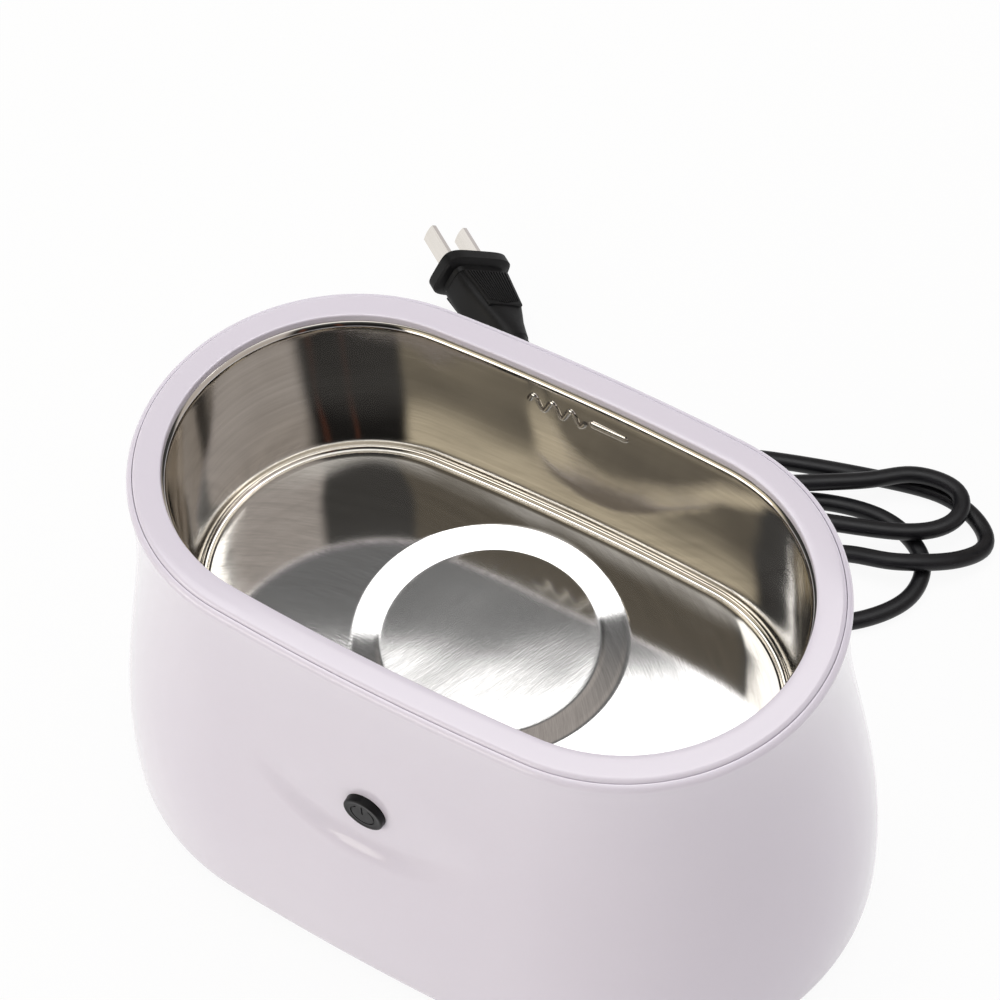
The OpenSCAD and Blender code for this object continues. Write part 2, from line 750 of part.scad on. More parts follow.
module sweep(pts, r, sides) {
  n = len(pts);
  function dir(i) = let (a = pts[max(i - 1, 0)], b = pts[min(i + 1, n - 1)]) (b - a)/norm(b - a);
  function across(d) = cross(d, abs(d[2]) < 0.9 ? [0, 0, 1] : [1, 0, 0]);
  ring = [for (i = [0:n - 1]) let (d = dir(i), u = across(d)/norm(across(d)), v = cross(u, d))
            for (k = [0:sides - 1]) pts[i] + r*(cos(360*k/sides)*u + sin(360*k/sides)*v)];
  walls = [for (i = [0:n - 2], k = [0:sides - 1], h = [0, 1]) let (m = (k + 1) % sides, b = (i + 1)*sides)
             h == 0 ? [i*sides + k, i*sides + m, b + m] : [i*sides + k, b + m, b + k]];
  caps = [[for (k = [sides - 1:-1:0]) k], [for (k = [0:sides - 1]) (n - 1)*sides + k]];
  polyhedron(points = ring, faces = concat(walls, caps), convexity = 8);
}
module button_spring() {
  turns = spring_turns*spring_steps;
  start_y = spring_y0 - spring_wire - spring_gap;
  step_y = (spring_l - 2*spring_wire - 2*spring_gap)/turns;
  color("silver") sweep([for (i = [0:turns]) coil_pt(360*i/spring_steps, spring_r, start_y - step_y*i)],
                        spring_wire, 6);
}
tact_h = 3;
tact_l = 6;
tact_bore = 1.8;
tact_bore_l = 1.4;
stem_gap = 0.05;
plunger_r = 1.7;
module switch_plunger() {
  color("black") translate([0, -switch_y - tact_h - stem_gap, button_z]) rotate([90, 0, 0])
    cylinder(r = plunger_r, h = spring_y0 - switch_y - tact_h - stem_gap);
}
module switch_body() {
  color("gray") translate([0, -switch_y - tact_h, button_z]) difference() {
    translate([-tact_l/2, 0, -tact_l/2]) cube([tact_l, tact_h, tact_l]);
    translate([0, -over, 0]) rod(tact_bore, button_travel + tact_bore_l);
  }
}
switch_board_end = 4;
switch_board_w = 15;
switch_hole_r = 1.25;
module switch_board() {
  color("seagreen") difference() {
    translate([-switch_post_x - switch_board_end, -switch_y, button_z - switch_board_w/2])
      cube([2*switch_post_x + 2*switch_board_end, switch_board_t, switch_board_w]);
    for (s = [-1, 1]) translate([s*switch_post_x, -switch_y - over, button_z])
      rod(switch_hole_r, switch_board_t + 2*over);
  }
}
module switch_screws() {
  color("gray") for (s = [-1, 1]) translate([s*switch_post_x, -switch_y + switch_board_t, button_z])
    rotate([90, 0, 0]) pan_screw(small_head_r, small_head_h, small_shank_r, switch_screw_l);
}

// Cord entry
clamp_in = 14.1;
clamp_y = belly_r - clamp_in;
clamp_x = 9;
clamp_z = 9;
clamp_t = 3;
clamp_w = 7;
clamp_end = 3;
clamp_bite = 0.4;
clamp_clear = 0.05;
relief_in = 6;
relief_over = 1;
pad_gap = 0.2;
collar = 0.8;
collar_t = 2;
collar_gap = 0.3;
taper_in = 0.4;
taper_out = 0.9;
groove_from = 5;
groove_pitch = 3.6;
groove_w = 1.2;
groove_bottom = 0.7;
groove_out = 8;
module strain_relief() {
  color("black") translate([exit_x, 0, relief_z]) {
    translate([0, clamp_y + relief_in, 0]) rod(relief_neck_r, relief_y + relief_over - clamp_y - relief_in);
    intersection() {
      translate([0, pad_y - pad_gap - relief_flange_t, 0]) rod(relief_neck_r + relief_flange, relief_flange_t);
      translate([-pad_deep, pad_y - pad_deep/2, base_top + base_clear - relief_z])
        cube([2*pad_deep, pad_deep, pad_deep]);
    }
    difference() {
      translate([0, relief_y + collar_gap, 0]) union() {
        rod(relief_neck_r + collar, collar_t);
        rotate([-90, 0, 0])
          cylinder(r1 = relief_neck_r + taper_in, r2 = cord_r + taper_out, h = relief_l - collar_gap);
      }
      for (i = [0:4]) translate([0, relief_y + groove_from + groove_pitch*i, 0]) difference() {
        rod(groove_out, groove_w);
        translate([0, -over, 0]) rod(cord_r + groove_bottom, groove_w + 2*over);
      }
    }
  }
}
module cord_clamp() {
  color("white") translate([exit_x, clamp_y, clamp_z]) difference() {
    translate([-clamp_x - clamp_end, -clamp_w/2, 0]) cube([2*clamp_x + 2*clamp_end, clamp_w, clamp_t]);
    for (s = [-1, 1]) translate([s*clamp_x, 0, -over]) cylinder(r = switch_hole_r, h = clamp_t + 2*over);
    translate([0, -clamp_w, -clamp_bite]) rod(cord_r + clamp_clear, 2*clamp_w);
  }
}
module clamp_screws() {
  color("gray") for (s = [-1, 1]) translate([exit_x + s*clamp_x, clamp_y, clamp_z + clamp_t]) mirror([0, 0, 1])
    pan_screw(small_head_r, small_head_h, small_shank_r, clamp_screw_l);
}

// Smooth curve through chosen points, n steps between neighbours
function smooth(p, n) = let (m = len(p)) concat(
  [for (i = [0:m - 2], k = [0:n - 1])
    let (a = p[max(i - 1, 0)], b = p[i], c = p[i + 1], d = p[min(i + 2, m - 1)], t = k/n)
    0.5*(2*b + (c - a)*t + (2*a - 5*b + 4*c - d)*t*t + (3*b - a - 3*c + d)*t*t*t)], [p[m - 1]]);

// Leads inside the housing, from the piece that each starts at to the board
lead_r = 0.9;
thin_r = 0.6;
lead_gap = 0.05;
board_at = [board_x, 0, board_top];
clamp_at = [exit_x, clamp_y, relief_z];
lead_from_clamp = [[0, 5.6, -0.4], [0, -4, -0.4]];
lead_over_base = [[-22, 44, 9], [-8, 36, 9.5], [12, 30, 11]];
lead_to_block = [[-40, 22, 4.9], [-33, 17.5, 11.3], [-26.5, 15.5, 12.2]];
mains_lead = concat([for (q = lead_from_clamp) clamp_at + q], lead_over_base, [for (q = lead_to_block) board_at + q]);
module mains_leads() {
  color("saddlebrown") for (s = [-1, 1])
    sweep([for (q = smooth(mains_lead, 2)) q + [0, 0, s*(lead_r + lead_gap)]], lead_r, 6);
}
switch_at = [0, -switch_y + switch_board_t, button_z];
lead_from_switch = [[6, 0.9, -4.6], [12, 4.9, -12.6]];
lead_past_sink = [[-41, -38, 32.9], [-31, -28, 14.9], [-29, -17, 2.4], [-29, -12, 0.6]];
switch_lead = concat([for (q = lead_from_switch) switch_at + q], [for (q = lead_past_sink) board_at + q]);
lead_pitch = [3, 3, 2, 2, 2, 2];
module switch_leads() {
  color("red") for (s = [0, 1])
    sweep(smooth([for (i = [0:5]) switch_lead[i] + [s*lead_pitch[i], 0, 0]], 2), thin_r, 6);
}
tab_reach = stack_r + tab_out;
lead_from_tab = [[0.5, 0, 0], [4, 1, -1], [9, 3, -9]];
tab_lead_ends = [[-27.5, 5.5, 11.3], [-27.5, 10.5, 11.3]];
module transducer_leads() {
  color("blue") for (i = [0, 1])
    let (tab_at = [tab_reach*cos(tab_turns[i]), tab_reach*sin(tab_turns[i]), [ring1_z, ring2_z][i] - tab_t/2])
      sweep(smooth(concat([for (q = lead_from_tab) tab_at + q], [board_at + tab_lead_ends[i]]), 3), thin_r, 6);
}

// Mains lead outside: its route on the table, chosen by hand
cord_in = [[-25, 96, 9], [-25.5, 106, 7.2], [-33, 117.5, 2.8], [-48, 120.5, 2.5], [-59, 111, 2.5], [-63, 101, 2.5]];
cord_out = [[-88, 117.3, 7.5], [-48, 106.5, 7.9], [-28, 98.5, 2.6], [18, 86, 2.5], [42, 87, 2.5], [63, 96.5, 2.5],
            [75.5, 113, 2.5], [73, 129, 2.5], [57, 136.8, 2.5], [36, 133, 2.5], [16, 121, 2.5], [6, 107, 2.5],
            [16, 98, 2.5], [33, 104, 3], [50, 116.5, 5], [68, 121, 7.5], [83, 132, 5.5], [87.5, 144, 2.6],
            [76, 152.5, 2.5], [56, 152, 2.5], [6, 136, 2.5], [-7, 121, 2.5], [-3, 107.5, 3.2], [10, 105.5, 7.8],
            [28, 118, 7.6], [65, 132, 7.6], [76.5, 143.5, 7.8], [72.5, 154, 7.6], [58, 153, 7.8], [42, 141, 7.7],
            [0, 115.5, 8.4], [-22, 106.8, 12.5], [-40, 109.6, 12.6], [-54.9, 119.8, 12.3]];
coil_at = [-92, 90, 0];
coil_in = 20;
coil_out = 30;
coil_h = 10;
module cord_to_coil() { color("black") sweep(smooth(cord_in, 2), cord_r, 8); }
module cord_to_plug() { color("black") sweep(smooth(cord_out, 2), cord_r, 8); }
module cord_coil() {
  color("black") translate(coil_at) rotate_extrude() translate([coil_in, 0]) square([coil_out - coil_in, coil_h]);
}

// Plug: local X points from the cord to the blades
plug_at = [-104.8, 153.2, 12.3];
plug_turn = 146.2;
plug_roll = 32;
plug_l = 36;
plug_w = 26;
plug_t = 17;
plug_corner = 5;
face_t = 5;
grip_corner = 4;
grip_in_w = 5;
grip_in_t = 4;
grip_l = 22;
grip_end_w = 8;
grip_end_t = 5;
slice = 1;
tail_w = 10.5;
tail_r = 5;
sleeve_end = 60;
pad_from = 7;
pad_long = 12;
pad_wide = 13;
pad_in = 1.4;
pad_half = 1.2;
ring_from = 4;
ring_pitch = 4.5;
ring_gap = 1.6;
ring_bottom = 0.6;
blade_root = 8;
blade_round = 9;
module in_plug() { translate(plug_at) rotate([0, 0, plug_turn]) rotate([plug_roll, 0, 0]) children(); }
// round-cornered slab across the plug, l long from x
module slab(x, l, w, t, r) {
  translate([x, 0, 0]) rotate([0, 90, 0]) linear_extrude(l) hull()
    for (a = [-1, 1], b = [-1, 1]) translate([a*(t/2 - r), b*(w/2 - r)]) circle(r = r, $fn = 24);
}
module grip_end() { slab(-grip_l, slice, plug_w - grip_end_w, plug_t - grip_end_t, grip_corner); }
module plug_body() {
  color("black") in_plug() difference() {
    union() {
      slab(-face_t, face_t, plug_w, plug_t, plug_corner);
      hull() {
        slab(-face_t - slice, slice, plug_w - grip_in_w, plug_t - grip_in_t, grip_corner);
        grip_end();
      }
      hull() {
        grip_end();
        slab(-plug_l, slice, tail_w, tail_w, tail_r);
      }
      translate([-plug_l + slice/2, 0, 0]) rotate([0, -90, 0])
        cylinder(r1 = tail_r, r2 = cord_r + taper_out, h = sleeve_end - plug_l - slice/2);
    }
    for (s = [-1, 1]) translate([-pad_from - pad_long, -pad_wide/2, s*(plug_t/2 - pad_in) - pad_half])
      cube([pad_long, pad_wide, 2*pad_half]);
    for (i = [0:3]) translate([-plug_l - ring_from - ring_pitch*i, 0, 0]) rotate([0, -90, 0]) difference() {
      cylinder(r = groove_out, h = ring_gap);
      translate([0, 0, -over]) cylinder(r = cord_r + ring_bottom, h = ring_gap + 2*over);
    }
    for (s = [-1, 1]) translate([-blade_root, s*blade_gap/2 - blade_t/2, -blade_w/2])
      cube([blade_root + over, blade_t, blade_w]);
  }
}
blade_shoulder = 2;
module plug_blades() {
  color("silver") in_plug() for (s = [-1, 1]) translate([-blade_root, s*blade_gap/2 - blade_t/2, -blade_w/2])
    intersection() {
      cube([blade_root + blade_l, blade_t, blade_w]);
      translate([blade_root + blade_l - blade_round, -over, blade_w/2]) rotate([-90, 0, 0]) union() {
        cylinder(r = blade_round, h = blade_t + 2*over);
        translate([-blade_l - blade_root, -blade_w, 0])
          cube([blade_l + blade_root + blade_shoulder, 2*blade_w, blade_t + 2*over]);
      }
    }
}

outer_housing();
top_bezel();
tank();
tank_gasket();
base_plate();
rubber_feet();
base_screws();
bond_layer();
transducer_horn();
piezo_rings();
electrode_tabs();
back_mass();
transducer_bolt();
driver_board();
board_screws();
transformer();
capacitors();
heat_sink();
power_transistors();
fuse();
terminal_block();
output_choke();
button_cap();
button_spring();
switch_plunger();
switch_body();
switch_board();
switch_screws();
strain_relief();
cord_clamp();
clamp_screws();
mains_leads();
switch_leads();
transducer_leads();
cord_to_coil();
cord_coil();
cord_to_plug();
plug_body();
plug_blades();
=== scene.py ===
import bpy, math
from mathutils import Matrix, Vector


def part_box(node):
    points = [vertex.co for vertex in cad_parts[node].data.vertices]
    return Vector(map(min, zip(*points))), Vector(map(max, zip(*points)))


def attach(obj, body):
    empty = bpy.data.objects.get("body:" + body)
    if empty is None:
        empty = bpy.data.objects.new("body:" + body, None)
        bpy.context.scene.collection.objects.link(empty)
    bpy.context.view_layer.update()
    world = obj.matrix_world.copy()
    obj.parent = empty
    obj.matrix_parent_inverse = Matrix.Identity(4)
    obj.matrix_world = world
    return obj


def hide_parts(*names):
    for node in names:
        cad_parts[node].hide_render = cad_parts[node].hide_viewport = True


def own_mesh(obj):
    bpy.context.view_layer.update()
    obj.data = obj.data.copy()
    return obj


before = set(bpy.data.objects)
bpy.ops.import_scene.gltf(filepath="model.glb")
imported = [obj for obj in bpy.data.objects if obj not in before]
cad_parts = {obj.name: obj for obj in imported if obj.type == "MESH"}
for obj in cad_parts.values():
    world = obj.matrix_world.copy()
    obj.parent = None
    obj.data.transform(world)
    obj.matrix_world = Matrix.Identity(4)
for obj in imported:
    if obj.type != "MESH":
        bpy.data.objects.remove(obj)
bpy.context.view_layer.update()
mm = 0.001
print("frame loaded:", len(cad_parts), "nodes")


# camera
camera = {"lens": 101.08, "azimuth": 33.967, "elevation": 53.876, "roll": -3.477,
          "position": (0.237904, -0.344198, 0.710301)}


def addCamera(look):
    az, el, roll = (math.radians(look[k]) for k in ("azimuth", "elevation", "roll"))
    back = Vector((math.sin(az) * math.cos(el), -math.cos(az) * math.cos(el), math.sin(el)))
    right = Vector((math.cos(az), math.sin(az), 0))
    up = back.cross(right)
    rightRolled = right * math.cos(roll) + up * math.sin(roll)
    upRolled = up * math.cos(roll) - right * math.sin(roll)
    bpy.ops.object.select_all(action="DESELECT")
    bpy.ops.object.camera_add()
    shot = bpy.context.object
    shot.name = "shotCamera"
    turn = Matrix((rightRolled, upRolled, back)).transposed()
    shot.matrix_world = Matrix.Translation(look["position"]) @ turn.to_4x4()
    shot.data.lens = look["lens"]
    shot.data.sensor_width = 36
    shot.data.clip_start = 0.01
    shot.data.clip_end = 20
    bpy.context.scene.camera = shot
    bpy.context.scene.view_settings.view_transform = "Standard"


addCamera(camera)
print("camera placed")


# small helpers for working by hand
def setMode(mode):
    bpy.ops.object.mode_set(mode=mode)


def selectAll(action):
    bpy.ops.mesh.select_all(action=action)


def shiftBy(place):
    # place is in mm
    return Matrix.Translation([c * mm for c in place])


def turnBy(degrees, axis):
    return Matrix.Rotation(math.radians(degrees), 4, axis)


def deselectAll():
    if bpy.context.object and bpy.context.object.mode != "OBJECT":
        setMode("OBJECT")
    bpy.ops.object.select_all(action="DESELECT")


def activate(piece):
    deselectAll()
    piece.select_set(True)
    bpy.context.view_layer.objects.active = piece


def editAll(piece):
    activate(piece)
    setMode("EDIT")
    bpy.ops.mesh.select_mode(type="VERT")
    selectAll("SELECT")


def closeMesh(weld=0.000003):
    # in edit mode: points that fall together become one and the normals turn outward
    selectAll("SELECT")
    bpy.ops.mesh.remove_doubles(threshold=weld)
    bpy.ops.mesh.normals_make_consistent(inside=False)
    setMode("OBJECT")


def smoothBy(piece, angle):
    activate(piece)
    bpy.ops.object.shade_smooth_by_angle(angle=math.radians(angle))


def finishMesh(piece, smoothAngle=35):
    editAll(piece)
    closeMesh(0.000002)
    activate(piece)
    bpy.ops.object.transform_apply()
    smoothBy(piece, smoothAngle)


def applyModifier(piece, kind, **values):
    activate(piece)
    modifier = piece.modifiers.new(kind.title(), kind)
    for key, value in values.items():
        setattr(modifier, key, value)
    bpy.ops.object.modifier_apply(modifier=modifier.name)


def cutAway(piece, cutter):
    applyModifier(piece, "BOOLEAN", operation="DIFFERENCE", object=cutter, solver="EXACT")
    bpy.data.objects.remove(cutter)


def joinPieces(name, *pieces):
    deselectAll()
    for p in pieces:
        p.select_set(True)
    bpy.context.view_layer.objects.active = pieces[0]
    if len(pieces) > 1:
        bpy.ops.object.join()
    pieces[0].name = name
    return pieces[0]


def carry(piece, slot, material, *nodes, body="machine"):
    # gives a finished piece its material and its body, and hides the solids that it stands for
    if material:
        piece.data.materials.clear()
        piece.data.materials.append(material)
    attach(piece, body)
    if nodes:
        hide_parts(*nodes)
    return piece


def addBlock(middle, size):
    # a block with its sides along the axes, in mm
    deselectAll()
    bpy.ops.mesh.primitive_cube_add(size=1)
    block = bpy.context.object
    block.data.transform(shiftBy(middle) @ Matrix.Diagonal((*[c * mm for c in size], 1)))
    return block


def arcPoints(cx, cz, r, start, end, steps):
    points = []
    for i in range(steps + 1):
        a = math.radians(start + (end - start) * i / steps)
        points.append((cx + r * math.cos(a), cz + r * math.sin(a)))
    return points


def startFromPoint(name, place):
    deselectAll()
    bpy.ops.mesh.primitive_plane_add(size=0.001, enter_editmode=True)
    selectAll("SELECT")
    bpy.ops.mesh.merge(type="CENTER")
    bpy.ops.transform.translate(value=place)
    bpy.context.object.name = name
    return bpy.context.object


def extrudeBy(step):
    bpy.ops.mesh.extrude_region_move(TRANSFORM_OT_translate={"value": step})


# the oval that every shell follows
oval = {"endX": 41.8, "bow": 1.2, "sideSteps": 72, "endSteps": 84}
bowAngle = 2 * math.atan(oval["bow"] / oval["endX"])       # half the angle of each bowed side
sideCentre = oval["endX"] / math.tan(bowAngle)


def bowPlace(x, y):
    # from the straight-sided oval to the one with bowed sides, in mm
    a = oval["endX"]
    if abs(x) <= a:
        t = x / a * bowAngle
        big = abs(y) + math.hypot(a, sideCentre)
        side = 1 if y >= 0 else -1
        return big * math.sin(t), side * (big * math.cos(t) - sideCentre)
    end = a if x > 0 else -a
    dx = abs(x) - a
    turn = math.atan2(y, dx) * (1 - bowAngle / (math.pi / 2))
    r = math.hypot(dx, y)
    return end + (1 if x > 0 else -1) * r * math.cos(turn), r * math.sin(turn)


def bowMesh(piece):
    for v in piece.data.vertices:
        x, y = bowPlace(v.co.x / mm, v.co.y / mm)
        v.co.x, v.co.y = x * mm, y * mm


def sweepOval(name, section, closed=True):
    # section is (radius, height) in mm; it is drawn at the front left, pulled along the side and spun round each end
    a = oval["endX"]
    points = list(section) + ([section[0]] if closed else [])
    piece = startFromPoint(name, (-a * mm, -points[0][0] * mm, points[0][1] * mm))
    for p, q in zip(points, points[1:]):
        extrudeBy((0, -(q[0] - p[0]) * mm, (q[1] - p[1]) * mm))
    selectAll("SELECT")
    step = 2 * a * mm / oval["sideSteps"]
    for side in (1, -1):
        for i in range(oval["sideSteps"]):
            extrudeBy((side * step, 0, 0))
        bpy.ops.mesh.spin(steps=oval["endSteps"], angle=-math.pi, center=(side * a * mm, 0, 0), axis=(0, 0, 1))
    closeMesh()
    return piece


def spinRound(name, section, place, axis="Z", steps=64, closed=False, angle=360):
    # a turned piece: section is (radius, along the axis) in mm, about the axis through place
    piece = startFromPoint(name, (section[0][0] * mm, 0, section[0][1] * mm))
    points = list(section) + ([section[0]] if closed else [])
    for p, q in zip(points, points[1:]):
        extrudeBy(((q[0] - p[0]) * mm, 0, (q[1] - p[1]) * mm))
    selectAll("SELECT")
    bpy.ops.mesh.spin(steps=steps, angle=math.radians(angle), center=(0, 0, 0), axis=(0, 0, 1))
    closeMesh()
    lay = {"Z": Matrix.Identity(4), "-Y": turnBy(90, "X"),
           "Y": turnBy(-90, "X")}[axis]
    piece.data.transform(shiftBy(place) @ lay)
    return piece


# mains lead: one line from the machine to the plug
lead = {"width": 5.2, "height": 4.6, "sides": 20,
        "gap": 1.6, "overTable": 0.05, "squareness": 0.8,
        "coilMiddle": (-92, 90), "outerTurn": 27.5, "innerTurn": 22.5,
        # places along the coil: degrees turned, radius, height
        "coilSteps": [(0, 27.5, 2.5), (270, 27.5, 2.5), (330, 22.5, 2.5), (570, 22.5, 2.5), (630, 22.5, 7.5),
                      (900, 22.5, 7.5), (990, 22.5, 12.5)],
        "coilEnd": (1050, 1350, 7.5),
        "toCoil": [(-25, 96, 9), (-25.5, 106, 7.2), (-33, 117.5, 2.8), (-48, 120.5, 2.5), (-59, 111, 2.5),
                   (-63, 101, 2.5)],
        "toPlug": [(-88, 117.3, 7.5), (-48, 106.5, 7.9), (-28, 98.5, 2.6), (18, 86, 2.5), (42, 87, 2.5),
                   (63, 96.5, 2.5), (75.5, 113, 2.5), (73, 129, 2.5), (57, 136.8, 2.5), (36, 133, 2.5),
                   (16, 121, 2.5), (6, 107, 2.5), (16, 98, 2.5), (33, 104, 3), (50, 116.5, 5), (68, 121, 7.5),
                   (83, 132, 5.5), (87.5, 144, 2.6), (76, 152.5, 2.5), (56, 152, 2.5), (6, 136, 2.5),
                   (-7, 121, 2.5), (-3, 107.5, 3.2), (10, 105.5, 7.8), (28, 118, 7.6), (65, 132, 7.6),
                   (76.5, 143.5, 7.8), (72.5, 154, 7.6), (58, 153, 7.8), (42, 141, 7.7), (0, 115.5, 8.4),
                   (-22, 106.8, 12.5), (-40, 109.6, 12.6), (-54.9, 119.8, 12.3)]}


def coilPlace(u):
    # the turns lie beside and on each other, and each step from turn to turn has its own stretch
    cx, cy = lead["coilMiddle"]
    steps = lead["coilSteps"]
    last, end, level = lead["coilEnd"]
    if u >= last:
        r, z = lead["outerTurn"], level
    elif u > steps[-1][0]:
        s = (u - steps[-1][0]) / (last - steps[-1][0]) * math.pi / 2
        r, z = lead["innerTurn"] + 5 * math.sin(s), level + 5 * math.cos(s)
    else:
        for (u0, r0, z0), (u1, r1, z1) in zip(steps, steps[1:]):
            if u0 <= u <= u1:
                s = (u - u0) / (u1 - u0)
                s = s * s * (3 - 2 * s)
                r, z = r0 + (r1 - r0) * s, z0 + (z1 - z0) * s
                break
    a = math.radians(-u)
    return (cx + r * math.cos(a), cy + r * math.sin(a), z)


def smoothLine(points, steps):
    # a smooth line through the points (Catmull-Rom)
    line = []
    for i in range(len(points) - 1):
        a, b = points[max(i - 1, 0)], points[i]
        c, d = points[i + 1], points[min(i + 2, len(points) - 1)]
        for k in range(steps):
            t = k / steps
            line.append(tuple(0.5 * (2 * q + (r - p) * t + (2 * p - 5 * q + 4 * r - s) * t * t
                                     + (3 * q - p - 3 * r + s) * t ** 3) for p, q, r, s in zip(a, b, c, d)))
    line.append(tuple(points[-1]))
    return line


def evenLine(points, gap):
    # the same line again with its points a fixed distance apart
    line, left = [Vector(points[0])], gap
    for a, b in zip(points, points[1:]):
        a, b = Vector(a), Vector(b)
        span = (b - a).length
        while span > left:
            a = a + (b - a) * (left / span)
            line.append(a.copy())
            span -= left
            left = gap
        left -= span
    line.append(Vector(points[-1]))
    return line


def layLead():
    coil = [coilPlace(u) for u in range(0, lead["coilEnd"][1] + 1, 6)]
    middle = (smoothLine(lead["toCoil"] + [coil[0]], 10)[:-1] + coil
              + smoothLine([coil[-1]] + lead["toPlug"], 10)[1:])
    line = evenLine(middle, lead["gap"])
    for i in range(3):      # takes the last kinks out of the joins between the stretches
        line = [line[0]] + [(a + b * 2 + c) / 4 for a, b, c in zip(line, line[1:], line[2:])] + [line[-1]]
    for p in line:      # none of it sinks in the table
        p.z = max(p.z, lead["height"] / 2 + lead["overTable"])
    long = sum((b - a).length for a, b in zip(line, line[1:]))
    deselectAll()
    bpy.ops.mesh.primitive_circle_add(vertices=lead["sides"], radius=mm)
    tube = bpy.context.object
    tube.name = "mainsLead"
    sides = lead["sides"]
    places, faces = [], []
    for i, p in enumerate(line):
        ahead = (line[min(i + 1, len(line) - 1)] - line[max(i - 1, 0)]).normalized()
        side = ahead.cross(Vector((0, 0, 1))).normalized()
        top = side.cross(ahead).normalized()
        for k in range(sides):
            a = 2 * math.pi * k / sides
            # a flattened jacket with full edges over its two cores
            c, s = math.cos(a), math.sin(a)
            wide = math.copysign(abs(c) ** lead["squareness"], c) * lead["width"] / 2
            high = math.copysign(abs(s) ** lead["squareness"], s) * lead["height"] / 2
            places.append((p + side * wide + top * high) * mm)
    for i in range(len(line) - 1):
        for k in range(sides):
            m = (k + 1) % sides
            faces.append((i * sides + k, i * sides + m, (i + 1) * sides + m, (i + 1) * sides + k))
    faces.append(tuple(range(sides - 1, -1, -1)))
    faces.append(tuple((len(line) - 1) * sides + k for k in range(sides)))
    tube.data.clear_geometry()
    tube.data.from_pydata(places, [], faces)
    # a map that follows the lead: along it and round it
    tube.data.uv_layers.new(name="along")
    uv = tube.data.uv_layers["along"].data
    for f in tube.data.polygons[:-2]:
        ring, k = divmod(f.index, sides)
        for j, loop in enumerate(f.loop_indices):
            du, dv = ((0, 0), (0, 1), (1, 1), (1, 0))[j]
            uv[loop].uv = ((ring + du) * lead["gap"] * mm, (k + dv) / sides * 15 * mm)
    finishMesh(tube, 50)
    print("mains lead laid:", round(long / 1000, 3), "m")
    return tube, [tuple(p * mm) for p in line], long / 1000


mainsLead, leadLine, leadLength = layLead()


# finishes
def addGroup(name, inputs):
    group = bpy.data.node_groups.new(name, "ShaderNodeTree")
    for label, value in inputs:      # an input without a value is a vector
        kind = "NodeSocketVector" if value is None else "NodeSocketFloat"
        socket = group.interface.new_socket(name=label, in_out="INPUT", socket_type=kind)
        if value is not None:
            socket.default_value = value
    for label in ("Mask", "Height"):
        group.interface.new_socket(name=label, in_out="OUTPUT", socket_type="NodeSocketFloat")
    return group, group.nodes.new("NodeGroupInput"), group.nodes.new("NodeGroupOutput")


def addNode(tree, kind, links=None, **values):
    node = tree.nodes.new("ShaderNode" + kind)
    for key, value in values.items():
        if hasattr(node, key):
            setattr(node, key, value)
        else:
            node.inputs[key].default_value = value
    for socket, source in (links or {}).items():
        tree.links.new(source, node.inputs[socket])
    return node


def setInputs(node, values):
    for key, value in values.items():
        node.inputs[key].default_value = value


def grainGroup():
    # fine moulded or cast grain over broad, soft patches
    tree, given, result = addGroup("surfaceGrain", [("Vector", None), ("Scale", 400.0), ("Patch Scale", 25.0),
                                                    ("Patches", 0.5)])
    fine = addNode(tree, "TexNoise", {"Vector": given.outputs[0], "Scale": given.outputs[1]}, Detail=3.0)
    broad = addNode(tree, "TexNoise", {"Vector": given.outputs[0], "Scale": given.outputs[2]}, Detail=2.0)
    mask = addNode(tree, "Mix", {0: given.outputs[3], 2: fine.outputs[0], 3: broad.outputs[0]}, data_type="FLOAT")
    tree.links.new(mask.outputs[0], result.inputs[0])
    tree.links.new(fine.outputs[0], result.inputs[1])
    return tree


def addScratches(tree, place, wideScale, result):
    # fine scratches with wider ones under them
    fine = addNode(tree, "TexNoise", {"Vector": place.outputs[0]}, Scale=1.0, Detail=4.0, Roughness=0.7)
    wide = addNode(tree, "TexNoise", {"Vector": place.outputs[0]}, Scale=wideScale, Detail=2.0)
    both = addNode(tree, "Mix", {2: fine.outputs[0], 3: wide.outputs[0]}, data_type="FLOAT")
    setInputs(both, {0: 0.4})
    tree.links.new(both.outputs[0], result.inputs[0])
    tree.links.new(fine.outputs[0], result.inputs[1])
    return tree


def brushGroup():
    # long scratches left by a brush, in the first direction of the vector
    tree, given, result = addGroup("brushMarks", [("Vector", None), ("Along", 18.0), ("Across", 1800.0)])
    parts = addNode(tree, "SeparateXYZ", {0: given.outputs[0]})
    along = addNode(tree, "Math", {0: parts.outputs[0], 1: given.outputs[1]}, operation="MULTIPLY")
    across = addNode(tree, "Math", {0: parts.outputs[1], 1: given.outputs[2]}, operation="MULTIPLY")
    place = addNode(tree, "CombineXYZ", {0: along.outputs[0], 1: across.outputs[0], 2: parts.outputs[2]})
    return addScratches(tree, place, 0.22, result)


def arcGroup():
    # the same scratches where a brush swung round a far centre
    tree, given, result = addGroup("arcMarks", [("Vector", None), ("Centre", None), ("Along", 1.6),
                                                ("Across", 1500.0)])
    offset = addNode(tree, "VectorMath", {0: given.outputs[0], 1: given.outputs[1]}, operation="SUBTRACT")
    parts = addNode(tree, "SeparateXYZ", {0: offset.outputs[0]})
    turn = addNode(tree, "Math", {0: parts.outputs[1], 1: parts.outputs[0]}, operation="ARCTAN2")
    far = addNode(tree, "VectorMath", {0: offset.outputs[0]}, operation="LENGTH")
    along = addNode(tree, "Math", {0: turn.outputs[0], 1: given.outputs[2]}, operation="MULTIPLY")
    across = addNode(tree, "Math", {0: far.outputs["Value"], 1: given.outputs[3]}, operation="MULTIPLY")
    place = addNode(tree, "CombineXYZ", {0: along.outputs[0], 1: across.outputs[0]})
    return addScratches(tree, place, 0.2, result)


surfaceGrain, brushMarks, arcMarks = grainGroup(), brushGroup(), arcGroup()


